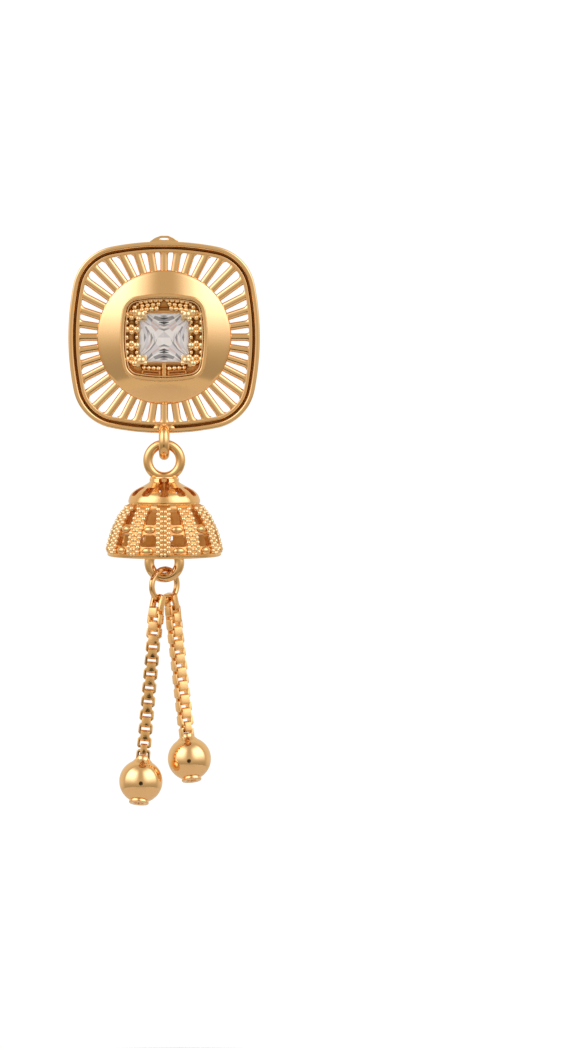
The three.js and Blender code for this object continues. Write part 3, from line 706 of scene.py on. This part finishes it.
def make_painted_reflection_facets():
    """The facets at the back of the stone, toned as painted reflections: crescents on four sides, and a star
    between them.
    """
    shape = new_shape()

    def facet(tone, turn, *spots):
        corners = []
        for x, y in spots:
            depth = GIRDLE_BOTTOM - CULET_DEPTH * (1 - max(abs(x), abs(y)) / CRESCENT_REACH)
            corners.append(shape.verts.new(turn @ Vector((x, y, depth))))
        shape.faces.new(corners).material_index = tone

    def arc(k, side):
        start = lerp(CULET_RADIUS, CRESCENT_REACH, k / CRESCENTS)
        half = CRESCENT_WIDTH * (1 - CRESCENT_NARROWS * (k / CRESCENTS) ** 2)
        cuts = [(cut ** CRESCENT_CURVE, side * half * cut) for cut in CRESCENT_CUTS]
        return [(lerp(start, CRESCENT_REACH, out), across) for out, across in cuts]

    ends, bright, dim = tone_draw(*END_DRAW), tone_draw(*BRIGHT_DRAW), tone_draw(*DIM_DRAW)
    for quarter in range(4):
        turn = Matrix.Rotation(quarter * math.pi / 2, 3, "Z")
        on_end = quarter % 2 == 1
        for side in (-1, 1):
            hand = ends if on_end else (dim if (side > 0) == (quarter == 0) else bright)
            for k in range(CRESCENTS):
                inner, outer = arc(k, side), arc(k + 1, side)
                tip = TIP_TONES[k % 3]
                if on_end:
                    tip = DARK if k in DARK_TIPS[quarter] else END_TIP_TONES[k % 2]
                point = [(a + b) / 2 for a, b in zip(inner[1], outer[1])]
                facet(tip, turn, inner[0], outer[0], point)
                for edge in (inner, outer):
                    facet(hand[k][0], turn, edge[0], edge[1], point)
                for i, tone in enumerate(hand[k], 1):
                    facet(tone, turn, inner[i], outer[i], outer[i + 1], inner[i + 1])
        rim = arc(0, 1)
        across = [(y, x) for x, y in rim]
        warm = quarter < 2
        for i, tone in enumerate(WARM_STAR if warm else COLD_STAR):
            facet(tone, turn, rim[i], rim[i + 1], across[i + 1], across[i])
        facet(PALE, turn, rim[-1], (CRESCENT_REACH, CRESCENT_REACH), across[-1])
        facet(PALE if warm else WHITE, turn, (0, 0), rim[0], across[0])
    for face in shape.faces:
        face.normal_update()
        if face.normal.z < 0:
            face.normal_flip()
    bmesh.ops.transform(shape, matrix=FACE_ON, verts=shape.verts)
    mesh = bpy.data.meshes.new("stone_back_painted_reflections")
    shape.to_mesh(mesh)
    shape.free()
    made = bpy.data.objects.new("stone_back_painted_reflections", mesh)
    bpy.context.scene.collection.objects.link(made)
    for tone in PAINTED_REFLECTION_TONES:
        mesh.materials.append(tone)
    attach(made, "plate")
    return made


def make_seat():
    """The wall that the stone rests on, and the gallery's ledge below it."""
    shape = new_shape()
    outer = BEZEL.inset(BEZEL_WALL + SEAT_GAP)
    gallery = outer.inset(GALLERY_WIDTH)
    floor = WELL_FLOOR + SEAT_GAP
    ledge = floor + GALLERY_HEIGHT
    walled(shape, [outer.points(floor), outer.points(ledge), gallery.points(ledge), gallery.points(floor)],
           closed=True)
    wide, narrow = STONE_HALF + SEAT_OUTSIDE, STONE_HALF - SEAT_INSIDE
    rings = []
    for half, depth in ((wide, SEAT_LOW), (wide, SEAT_HIGH), (narrow, SEAT_HIGH), (narrow, SEAT_LOW)):
        rings.append([(half, -half, depth), (half, half, depth), (-half, half, depth), (-half, -half, depth)])
    walled(shape, rings, closed=True)
    softened(shape, SEAT_ROUND, 2, over=60)
    # The seat takes the half-shade gold, a painted shade in the well.
    return piece("setting_seat", shape, FACE_ON, "plate", PAINTED_HALF_SHADE, stands_for=("stone_setting",))


def make_prongs():
    """Corner prongs, each a square lip over the stone's corner with one large grain and smaller ones."""
    shape, lips = new_shape(), new_shape()
    for x in (-1, 1):
        for y in (-1, 1):
            out, up = x * PRONG_OUT, y * PRONG_OUT
            rod(shape, (out, up, WELL_FLOOR + SEAT_GAP), (out, up, PRONG_TOP), PRONG_RADIUS)
            out, up, high = LIP_PLACE
            place = Matrix.Translation((x * out, y * up, high)) @ Matrix.Diagonal((*LIP_SIZE, 1))
            bmesh.ops.create_cube(lips, size=1, matrix=place)
            for (out, up, high), size in PRONG_GRAINS:
                bead(shape, (x * out, y * up, high), size, 0, 16, 10)
    softened(lips, LIP_ROUND, 2, over=60)
    piece("setting_lips", lips, FACE_ON, "plate", GRAIN)
    return piece("setting_prongs", shape, FACE_ON, "plate", GRAIN)


def make_grains():
    """Grains of the gallery: rows that run outwards at the sides, and rows along the top and the bottom."""
    shape = new_shape()
    charted = list(CORNER_GRAINS)
    for heights, grains in ((SIDE_ROWS, ROW_GRAINS), (SIDE_GAPS, GAP_GRAINS)):
        for height in heights:
            charted += [((out, height + up, high), size) for (out, up, high), size in grains]
    for count, (out, up, high), size, (step_out, step_up), bend in LONG_ROWS:
        for i in range(count):
            charted.append(((out + step_out * i, up + step_up * i + bend * i * i, high), size))
    for side in (-1, 1):
        for (out, up, high), size in charted:
            bead(shape, (side * out, up, high), [GRAIN_FULLNESS * length for length in size])
    return piece("setting_grains", shape, FACE_ON, "plate", GRAIN)


def make_wire():
    """A thin wire round the gallery, just inside the well's wall."""
    shape = new_shape()
    low, high = WELL_WIRE_HEIGHT - WIRE_HALF, WELL_WIRE_HEIGHT + WIRE_HALF
    swept(shape, BEZEL.inset(BEZEL_WALL + WELL_WIRE_INSET),
          [(-WIRE_HALF, low), (-WIRE_HALF, high), (WIRE_HALF, high), (WIRE_HALF, low)])
    softened(shape, WIRE_HALF / 2, 2, over=60)
    return piece("setting_wire", shape, FACE_ON, "plate", GRAIN)


def make_rails():
    """Rails and the middle post of the gallery's lower side, and the posts under the rows of grains."""
    shape = new_shape()
    for side in (-1, 1):
        for start, end, radius in RAILS:
            rod(shape, (side * start[0], *start[1:]), (side * end[0], *end[1:]), radius)
    rod(shape, *MIDDLE_POST)
    return piece("setting_rails", shape, FACE_ON, "plate", CAST)


# Bell

# The bell's wall: rows of how far inside its width and how far down they lie, the steps between rows, the
# bottom band, the arched tops of the windows, and the heights between which the openings' rims are evened
NECK_ROWS = ((0.1, 0.12), (0.03, 0.18), (0, 0.28))
COLLAR_ROWS = ((0.04, 2.42), (0.1, 2.52))
CROWN_END = 2.34
CROWN_STEP = 0.1
SKIRT_STEP = 0.13
BAND_RELIEF = 0.16
BAND_FLARE = 0.12
BAND_ROUND = 0.08
SHELL_STEPS = 16 * RIB_COUNT
WINDOW_ARCH = 0.28
WINDOW_ARCH_HEIGHT = 0.4
EVENED_FROM = 0.15
EVENED_TO = 6.5
EVENED_TIMES = 3
INNER_SIDE = 0.2
SKIRT_ROWS = ((0.0, 0.0), (0.24, 0.46), (0.54, 0.8), (0.84, 1.0), (1.0, 1.0))
CROWN_ROWS = ((0.4, 0.0), (0.52, 0.03), (0.7, 0.16), (0.89, 0.33), (1.08, 0.53), (1.26, 0.69), (1.45, 0.8),
              (1.63, 0.88), (1.9, 0.95), (2.18, 0.99), (2.3, 1.0))


def between_rows(rows, share):
    """Reads a table of place and share pairs between its rows."""
    for (near, low), (far, high) in zip(rows, rows[1:]):
        if share <= far:
            return lerp(low, high, (share - near) / (far - near))
    return rows[-1][1]


def skirt_radius(drop):
    """The skirt's width at a depth below the neck's top."""
    share = min(max((drop - COLLAR_DROP) / (BELL_HEIGHT - COLLAR_DROP), 0), 1)
    return SKIRT_TOP_RADIUS - RIB_RELIEF + between_rows(SKIRT_ROWS, share) * (MOUTH_RADIUS - SKIRT_TOP_RADIUS)


def crown_radius(drop):
    """The crown's width at a depth below the neck's top."""
    return lerp(NECK_RADIUS, COLLAR_RADIUS, between_rows(CROWN_ROWS, drop))


# Openings in the bell: where they begin and end below the neck's top, and half their width
UPPER_WINDOW = (2.95, 4.25, 0.475)
LOWER_WINDOW = (5.15, 6.12, 0.725)
CROWN_OPENING = (1.0, 1.72, 0.38)
NECK_SLOT = (0.18, 1.05, 0.46)

# The neck's top plate and nubs, the strips and grains of the ribs, and the beads between them
NECK_PLATE_ROWS = ((0, 0.01), (1.08, 0), (1.2, 0.03), (1.24, 0.1), (1.2, 0.17), (0, 0.18))
NUB_PLACE = (1.14, -0.1, 0.3)
NUB_SIZE = (0.42, 0.6, 0.56)
RIB_ENDS = (0.06, 0.02)
STRIP_ENDS = (0.1, 0.08)
STRIP_STEPS = 12
STRIP_INSET = 0.08
STRIP_RELIEF = 0.12
STRIP_SINK = 0.16
RIB_GRAIN_ROWS = 10
OUTER_GRAIN = (0.49, 0.1, (0.44, 0.44, 0.44))
INNER_GRAIN = (0.17, 0.12, (0.34, 0.36, 0.38))
BELL_BEAD_DROPS = (4.7, 6.6)
BELL_BEAD_SIZE = (1.1, 0.68, 0.7)

# The stem under the neck, its thicker part, and the pin with its crossbar in the neck's slot
STEM_TOP = NECK_TOP - 0.1
SLEEVE_RADIUS = 0.5
SLEEVE_END = NECK_TOP - 1.3
PIN_BAR = ((-0.42, -0.5, NECK_TOP - 0.32), (0.42, -0.5, NECK_TOP - 0.32), 0.1)
PIN_POST = ((0, -0.52, NECK_TOP - 0.3), (0, -0.52, NECK_TOP - 1.25), 0.12)


def make_bell_shell():
    """The bell's wall with its windows and crown openings cut through."""
    shape = new_shape()
    rows = [(NECK_RADIUS - inside, drop) for inside, drop in NECK_ROWS]
    drop = CROWN_ROWS[0][0]
    while drop < CROWN_END:
        rows.append((crown_radius(drop), drop))
        drop += CROWN_STEP
    rows += [(COLLAR_RADIUS - inside, down) for inside, down in COLLAR_ROWS]
    band_top = BELL_HEIGHT - BAND_HEIGHT
    while drop < band_top:
        if drop > COLLAR_DROP:
            rows.append((skirt_radius(drop), drop))
        drop += SKIRT_STEP
    band = MOUTH_RADIUS - RIB_RELIEF + BAND_RELIEF
    rows += [(band - BAND_FLARE, band_top), (band, band_top + BAND_ROUND), (band, BELL_HEIGHT - BAND_ROUND),
             (band - BAND_ROUND, BELL_HEIGHT)]
    turned(shape, [(radius, NECK_TOP - drop) for radius, drop in rows], SHELL_STEPS)
    bmesh.ops.remove_doubles(shape, verts=shape.verts, dist=1e-4)
    pitch = TURN / RIB_COUNT
    cut = []
    for face in shape.faces:
        middle = face.calc_center_median()
        drop = NECK_TOP - middle.z
        angle = math.atan2(middle.x, -middle.y)
        off_rib = (angle + pitch) % pitch - pitch / 2
        off_window = angle - round(angle / pitch) * pitch
        radius = math.hypot(middle.x, middle.y)
        for low, high, half in (UPPER_WINDOW, LOWER_WINDOW):
            if low < drop < high:
                arch = 1 - WINDOW_ARCH * max(0, 1 - (drop - low) / WINDOW_ARCH_HEIGHT) ** 2
                if abs(off_rib) * radius < half * arch:
                    cut.append(face)
        low, high, half = CROWN_OPENING
        if low < drop < high and abs(off_window) * radius < half:
            cut.append(face)
        low, high, half = NECK_SLOT
        if low < drop < high and abs(middle.x) < half:
            cut.append(face)
    bmesh.ops.delete(shape, geom=list(set(cut)), context="FACES")
    bmesh.ops.recalc_face_normals(shape, faces=shape.faces)
    rims = [v for v in shape.verts if EVENED_FROM < NECK_TOP - v.co.z < EVENED_TO
            and any(e.is_boundary for e in v.link_edges)]
    for _ in range(EVENED_TIMES):
        bmesh.ops.smooth_vert(shape, verts=rims, factor=0.5, use_axis_x=True, use_axis_y=True,
                              use_axis_z=True)
    bmesh.ops.solidify(shape, geom=shape.faces[:], thickness=BELL_WALL)
    bmesh.ops.recalc_face_normals(shape, faces=shape.faces)
    # Painted shade: inward faces take the deep shade gold below the collar and the half-shade gold in the
    # crown; the skirt's outer faces between collar and band take the half-shade gold.
    for face in shape.faces:
        middle = face.calc_center_median()
        drop = NECK_TOP - middle.z
        outward = face.normal.x * middle.x + face.normal.y * middle.y
        if outward < INNER_SIDE * math.hypot(middle.x, middle.y):
            face.material_index = 1 if drop > COLLAR_DROP else 2
        elif COLLAR_DROP < drop < band_top:
            face.material_index = 2
    made = piece("bell_shell", shape, HANGING, "drop", CAST, sharp=50, stands_for=("bell_dome",))
    made.data.materials.append(PAINTED_DEEP_SHADE)
    made.data.materials.append(PAINTED_HALF_SHADE)
    return made


def make_neck():
    """The small plate on the neck that carries the ring, with a nub at each side."""
    shape = new_shape()
    turned(shape, [(radius, NECK_TOP - drop) for radius, drop in NECK_PLATE_ROWS], 64)
    out, front, drop = NUB_PLACE
    for side in (-1, 1):
        bead(shape, (side * out, front, NECK_TOP - drop), NUB_SIZE, 0, 16, 10)
    return piece("bell_neck", shape, HANGING, "drop", POLISHED)


def make_ribs():
    """Raised ribs, each with columns of grains on a plain strip."""
    shape, strips = new_shape(), new_shape()
    top, bottom = COLLAR_DROP + RIB_ENDS[0], BELL_HEIGHT - BAND_HEIGHT + RIB_ENDS[1]
    pitch = (bottom - top) / RIB_GRAIN_ROWS
    half = RIB_WIDTH / 2 - STRIP_INSET
    for k in range(RIB_COUNT):
        angle = k * TURN / RIB_COUNT
        turn = Matrix.Rotation(angle, 4, "Z")
        front, back = [], []
        for i in range(STRIP_STEPS + 1):
            drop = lerp(top - STRIP_ENDS[0], bottom + STRIP_ENDS[1], i / STRIP_STEPS)
            front.append((-skirt_radius(drop) - STRIP_RELIEF, NECK_TOP - drop))
            back.append((-skirt_radius(drop) + STRIP_SINK, NECK_TOP - drop))
        outline = front + back[::-1]
        face = strips.faces.new([strips.verts.new(turn @ Vector((-half, y, z))) for y, z in outline])
        grown = bmesh.ops.extrude_face_region(strips, geom=[face])["geom"]
        corners = [v for v in grown if isinstance(v, bmesh.types.BMVert)]
        bmesh.ops.translate(strips, verts=corners, vec=turn @ Vector((2 * half, 0, 0)))
        for row in range(RIB_GRAIN_ROWS):
            middle = top + (row + 0.5) * pitch
            for side in (-1, 1):
                for drop, (aside, proud, size) in ((middle, OUTER_GRAIN), (middle + pitch / 2, INNER_GRAIN)):
                    centre = turn @ Vector((side * aside, -skirt_radius(drop) - proud, NECK_TOP - drop))
                    bead(shape, centre, size, angle, 8, 6)
    # The strips under the grains take the half-shade gold, a painted shade between the grains.
    piece("bell_rib_strips", strips, HANGING, "drop", PAINTED_HALF_SHADE, sharp=60)
    return piece("bell_ribs", shape, HANGING, "drop", GRAIN, sharp=60)


def make_bell_beads():
    """Oval beads between the ribs, under each row of windows."""
    shape = new_shape()
    for k in range(RIB_COUNT):
        angle = (k + 0.5) * TURN / RIB_COUNT
        turn = Matrix.Rotation(angle, 4, "Z")
        for drop in BELL_BEAD_DROPS:
            centre = turn @ Vector((0, -skirt_radius(drop), NECK_TOP - drop))
            bead(shape, centre, BELL_BEAD_SIZE, angle, 20, 12)
    return piece("bell_beads", shape, HANGING, "drop", RING)


def make_bell_rings():
    """The ring on the neck, the stem inside the bell, the loop below it and the pin in the neck."""
    shape = new_shape()
    wire_ring(shape, TOP_RING_RADIUS, TOP_RING_WIRE, Matrix.Translation((0, 0, TOP_RING_CENTRE)))
    wire_ring(shape, LOWER_LOOP_RADIUS, LOWER_LOOP_WIRE, Matrix.Translation((0, 0, LOWER_LOOP_CENTRE)))
    stem = new_shape()
    rod(stem, (0, 0, STEM_TOP), (0, 0, LOWER_LOOP_CENTRE + LOWER_LOOP_RADIUS), STEM_RADIUS)
    rod(stem, (0, 0, STEM_TOP), (0, 0, SLEEVE_END), SLEEVE_RADIUS)
    # The stem inside the bell takes the half-shade gold, a painted shade.
    piece("bell_stem", stem, HANGING, "drop", PAINTED_HALF_SHADE)
    rod(shape, *PIN_BAR)
    rod(shape, *PIN_POST)
    return piece("bell_rings", shape, HANGING, "drop", RING)


# Jump ring and chains
def make_jump_ring():
    """The thin oval ring through the lower loop, turned so that both chains show."""
    shape = new_shape()
    place = (Matrix.Translation((0, 0, JUMP_CENTRE)) @ Matrix.Rotation(JUMP_TURN, 4, "Z")
             @ Matrix.Diagonal((JUMP_HALF_WIDTH / JUMP_HALF_HEIGHT, 1, 1, 1)))
    wire_ring(shape, JUMP_HALF_HEIGHT, JUMP_WIRE, place)
    return piece("jump_ring_wire", shape, HANGING, "drop", RING, stands_for=("jump_ring",))


def jump_seat(angle):
    """Place on the jump ring's wire, the wire's direction there and the direction away from its middle."""
    turn = Matrix.Rotation(JUMP_TURN, 3, "Z")
    s, c = math.sin(angle), math.cos(angle)
    seat = turn @ Vector((JUMP_HALF_WIDTH * s, 0, JUMP_HALF_HEIGHT * c))
    along = (turn @ Vector((JUMP_HALF_WIDTH * c, 0, -JUMP_HALF_HEIGHT * s))).normalized()
    outward = (turn @ Vector((JUMP_HALF_HEIGHT * s, 0, JUMP_HALF_WIDTH * c))).normalized()
    return seat + Vector((0, 0, JUMP_CENTRE)), along, outward


def chain_walk(chain):
    """Every link's place and direction from the jump ring down, then the seat of the ball."""
    seat, along, outward = jump_seat(math.pi + math.radians(chain["spread"]))
    lean = math.radians(chain["lean"])
    hang = Vector((-math.sin(lean), 0, -math.cos(lean)))
    down = (outward + hang).normalized()
    start = seat - down * (JUMP_WIRE + HANG_GAP)
    chance = random.Random(chain["links"])
    links = []
    for i in range(chain["links"]):
        first = i == 0
        length = END_LINK_LENGTH if first else LINK_LENGTH
        strip = END_LINK_STRIP if first or i == chain["links"] - 1 else LINK_STRIP
        reach = length / 2 - LINK_WALL
        face = lerp(JUMP_TURN, math.radians(chain["face"]), min(1, i / SETTLE_LINKS)) + i * math.pi / 2
        facing = along if first else Vector((math.cos(face), math.sin(face), 0))
        centre = start + down * (reach + (0 if first else LINK_BITE))
        away = min(1, LINK_TIP_GROWTH * abs(i / chain["links"] - LINK_UPRIGHT_AT))
        tip = chance.uniform(-LINK_UNEVEN, LINK_UNEVEN) - LINK_TIP * away
        settled = Matrix.Rotation(math.radians(0 if first else tip), 3, "X")
        links.append((centre, settled @ down, settled @ facing, length, strip))
        start = centre + down * reach
        down = hang
    end = math.radians(chain["face"]) + chain["links"] * math.pi / 2
    return links, start, hang, Vector((math.cos(end), math.sin(end), 0))


def upright(centre, down, facing):
    """Where a link goes that is drawn in the XY plane with its Y axis up the chain."""
    up = -down
    hole = (facing - up * facing.dot(up)).normalized()
    across = up.cross(hole)
    place = Matrix((across, up, hole)).transposed().to_4x4()
    return Matrix.Translation(centre) @ place


def link(length, strip):
    """A flat strip folded to a box, with rounded edges."""
    shape = new_shape()
    half, high = LINK_ACROSS / 2, length / 2
    thick, bend = LINK_THICK, LINK_THICK + LINK_FOLD
    outer, inner = [], []
    for x, y in ((1, 1), (-1, 1), (-1, -1), (1, -1)):
        beside, beyond = (x * half, y * (high - LINK_CLIP)), (x * (half - LINK_CLIP), y * high)
        outer += [beside, beyond] if x * y > 0 else [beyond, beside]
        beside, beyond = (x * (half - thick), y * (high - bend)), (x * (half - bend), y * (high - thick))
        inner += [beside, beyond] if x * y > 0 else [beyond, beside]
    rings = []
    for ring, depth in ((outer, -strip / 2), (outer, strip / 2), (inner, strip / 2), (inner, -strip / 2)):
        rings.append([(x, y, depth) for x, y in ring])
    walled(shape, rings, closed=True)
    softened(shape, LINK_ROUND, 2, over=25)
    return shape


def ball():
    """A ball turned about its Z axis with a neck on top, and a drilled foot below that tips forward."""
    shape, foot = new_shape(), new_shape()
    rows = [(radius, BALL_RADIUS + up) for radius, up in BALL_FUNNEL]
    first = math.asin((BALL_NECK_RADIUS + BALL_FUNNEL_WIDTH) / BALL_RADIUS)
    for i in range(41):
        angle = lerp(first, math.pi, i / 40)
        rows.append((BALL_RADIUS * math.sin(angle), BALL_RADIUS * math.cos(angle)))
    turned(shape, rows, 72)
    turned(foot, [(radius, -BALL_RADIUS + up) for radius, up in BALL_FOOT_ROWS], 48, closed=True)
    # Painted shade: the faces of the foot's hole take the deep shade gold, added to the ball's materials
    # below.
    for face in foot.faces:
        middle = face.calc_center_median()
        if math.hypot(middle.x, middle.y) < BALL_HOLE_RADIUS and middle.z < BALL_HOLE_TOP - BALL_RADIUS:
            face.material_index = 1
    joined(shape, foot, Matrix.Rotation(-BALL_FOOT_TILT, 4, "X"))
    return shape


def make_chain(chain):
    """One box chain, and the ball that hangs by a staple from its last link."""
    links, start, hang, facing = chain_walk(chain)
    shape = new_shape()
    for centre, down, face, length, strip in links:
        joined(shape, link(length, strip), upright(centre, down, face))
    side = chain["side"]
    piece(f"box_chain_{side}", shape, HANGING, "drop", CAST, sharp=30, stands_for=(f"chain_{side}",))
    hung = new_shape()
    centre = start + hang * (LINK_WALL + HANG_GAP + BALL_NECK_HEIGHT + BALL_RADIUS)
    lean = math.radians(chain["lean"])
    joined(hung, ball(), Matrix.Translation(centre) @ Matrix.Rotation(lean, 4, "Y"))
    staple = start + hang * (LINK_LENGTH / 2 - LINK_WALL - HANG_GAP)
    joined(hung, link(LINK_LENGTH, END_LINK_STRIP), upright(staple, hang, facing))
    made = piece(f"polished_ball_{side}", hung, HANGING, "drop", POLISHED, sharp=40,
                 stands_for=(f"ball_{side}",))
    made.data.materials.append(PAINTED_DEEP_SHADE)


# Studio
LENS_RADIUS = 19 * MM
LENS_PLACE = (0, -100 * MM, -51 * MM)
FLOOR_RADIUS = 85 * MM
FLOOR_HEIGHT = -78 * MM

# The light tent: the two values of the direction between which each panel or band of the surroundings
# sets in, and how bright it is
PANEL_FRONT = (-0.15, 0.1)
PANEL_SIDE = (0.1, 0.75)
PANEL_HEIGHT = (-0.22, 0.6)
PANEL_FOOT = (-0.97, -0.7)
PANEL_GLOW = ((1, 1.04, 1.16), 1.7)
SURROUND_COLOUR = (1, 0.88, 0.68)
SURROUND_GLOW = 0.6
BEHIND_BAND = (0.05, 0.5, 0.2)
LOW_BAND = (0.05, 0.45, 0.18)
TABLE_BAND = (0.53, 0.57, 0.26)
UNDER_BAND = (0.9, 0.98, 0.2)
BACKDROP_GLOW = 1.05

# The camera's picture, worked from the size that one row of it shows at the earring
PICTURE_ROWS = 1048
ROW_SIZE = 0.092 * MM
PICTURE_MIDDLE = Vector((11.75, -1.8, -17.16)) * MM
CAMERA_AWAY = 0.6
CAMERA_RISE = math.radians(3.5)
SENSOR_HEIGHT = 24


def smooth_step(nodes, links, value, low, high):
    step = nodes.new("ShaderNodeMapRange")
    step.interpolation_type = "SMOOTHSTEP"
    links.new(value, step.inputs["Value"])
    step.inputs["From Min"].default_value = low
    step.inputs["From Max"].default_value = high
    return step.outputs["Result"]


def worked_out(nodes, links, kind, *values):
    math_node = nodes.new("ShaderNodeMath")
    math_node.operation = kind
    for socket, value in zip(math_node.inputs, values):
        if isinstance(value, (int, float)):
            socket.default_value = value
        else:
            links.new(value, socket)
    return math_node.outputs[0]


def make_tent():
    """A light tent: cool white panels at both sides of the camera in warm, dim surroundings."""
    world = bpy.data.worlds.new("light_tent")
    bpy.context.scene.world = world
    world.use_nodes = True
    nodes, links = world.node_tree.nodes, world.node_tree.links
    nodes.clear()
    towards = nodes.new("ShaderNodeSeparateXYZ")
    links.new(nodes.new("ShaderNodeTexCoord").outputs["Generated"], towards.inputs[0])
    x, y, z = towards.outputs

    def step(value, low, high):
        return smooth_step(nodes, links, value, low, high)

    def calc(kind, *values):
        return worked_out(nodes, links, kind, *values)

    def band(value, low, high, height):
        return calc("MULTIPLY", step(value, low, high), height)

    def glow(colour, strength):
        shader = nodes.new("ShaderNodeBackground")
        shader.inputs["Color"].default_value = (*colour, 1)
        links.new(calc("ADD", strength, 0), shader.inputs["Strength"])
        return shader.outputs[0]

    flat = calc("SQRT", calc("ADD", calc("MULTIPLY", x, x), calc("MULTIPLY", y, y)))
    aside = calc("DIVIDE", calc("ABSOLUTE", x), calc("MAXIMUM", flat, 0.001))
    front = step(calc("MULTIPLY", y, -1), *PANEL_FRONT)
    down = calc("MULTIPLY", z, -1)
    tall = calc("MULTIPLY", step(z, *PANEL_HEIGHT), step(down, *PANEL_FOOT))
    panels = calc("MULTIPLY", calc("MULTIPLY", step(aside, *PANEL_SIDE), front), tall)
    around = calc("ADD", band(y, *BEHIND_BAND), SURROUND_GLOW)
    around = calc("SUBTRACT", around, band(down, *LOW_BAND))
    around = calc("ADD", around, band(down, *TABLE_BAND))
    around = calc("SUBTRACT", around, band(down, *UNDER_BAND))
    colour, brightness = PANEL_GLOW
    cool = glow(colour, calc("MULTIPLY", panels, brightness))
    warm = glow(SURROUND_COLOUR, around)
    lit = nodes.new("ShaderNodeAddShader")
    links.new(cool, lit.inputs[0])
    links.new(warm, lit.inputs[1])
    shown = nodes.new("ShaderNodeMixShader")
    links.new(nodes.new("ShaderNodeLightPath").outputs["Is Camera Ray"], shown.inputs[0])
    links.new(lit.outputs[0], shown.inputs[1])
    links.new(glow((1, 1, 1), BACKDROP_GLOW), shown.inputs[2])
    links.new(shown.outputs[0], nodes.new("ShaderNodeOutputWorld").inputs["Surface"])


def staged(name, radius, place, rough, dim, bright):
    """A round board of the studio, which isn't part of the earring."""
    shape = new_shape()
    bmesh.ops.create_circle(shape, cap_ends=True, radius=radius, segments=96, matrix=place)
    mesh = bpy.data.meshes.new(name)
    shape.to_mesh(mesh)
    shape.free()
    board = bpy.data.objects.new(name, mesh)
    bpy.context.scene.collection.objects.link(board)
    material = bpy.data.materials.new(name)
    material.use_nodes = True
    nodes, links = material.node_tree.nodes, material.node_tree.links
    shader = nodes["Principled BSDF"]
    shader.inputs["Roughness"].default_value = rough
    spot = nodes.new("ShaderNodeTexCoord").outputs["Object"]
    tone = cloudy(nodes, links, spot, 40, 2)
    links.new(value_mix(nodes, links, "RGBA", tone, (*dim, 1), (*bright, 1)), shader.inputs["Base Color"])
    mesh.materials.append(material)
    return board


def make_floor():
    """A pale table below the earring."""
    return staged("pale_floor", FLOOR_RADIUS, Matrix.Translation((0, 0, FLOOR_HEIGHT)), 0.8,
                  (0.63, 0.585, 0.53), (0.66, 0.615, 0.56))


def make_lens():
    """The dark front of a lens below the middle, which the balls and the left chain mirror."""
    place = Matrix.Translation(LENS_PLACE) @ Matrix.Rotation(math.pi / 2, 4, "X")
    lens = staged("dark_lens", LENS_RADIUS, place, 0.6, (0.01, 0.01, 0.01), (0.03, 0.025, 0.02))
    lens.visible_camera = False


def make_camera():
    """Far away and a little above, with the earring at the left of the frame."""
    data = bpy.data.cameras.new("camera")
    data.sensor_fit = "VERTICAL"
    data.sensor_height = SENSOR_HEIGHT
    data.lens = SENSOR_HEIGHT * CAMERA_AWAY / (PICTURE_ROWS * ROW_SIZE)
    data.clip_start = 0.01
    camera = bpy.data.objects.new("camera", data)
    towards = Vector((0, -math.cos(CAMERA_RISE), math.sin(CAMERA_RISE)))
    camera.location = PICTURE_MIDDLE + towards * CAMERA_AWAY
    camera.rotation_euler = (math.pi / 2 - CAMERA_RISE, 0, 0)
    bpy.context.scene.collection.objects.link(camera)
    bpy.context.scene.camera = camera


make_rim()
make_ledge()
make_rays()
make_disc()
make_bezel()
make_lug()
make_drop_loop()
make_stone()
make_painted_reflection_facets()
make_seat()
make_prongs()
make_grains()
make_wire()
make_rails()
make_bell_shell()
make_neck()
make_ribs()
make_bell_beads()
make_bell_rings()
make_jump_ring()
for chain in CHAINS:
    make_chain(chain)
gild_post()
make_tent()
make_floor()
make_lens()
make_camera()
bpy.context.scene.view_settings.view_transform = "Standard"
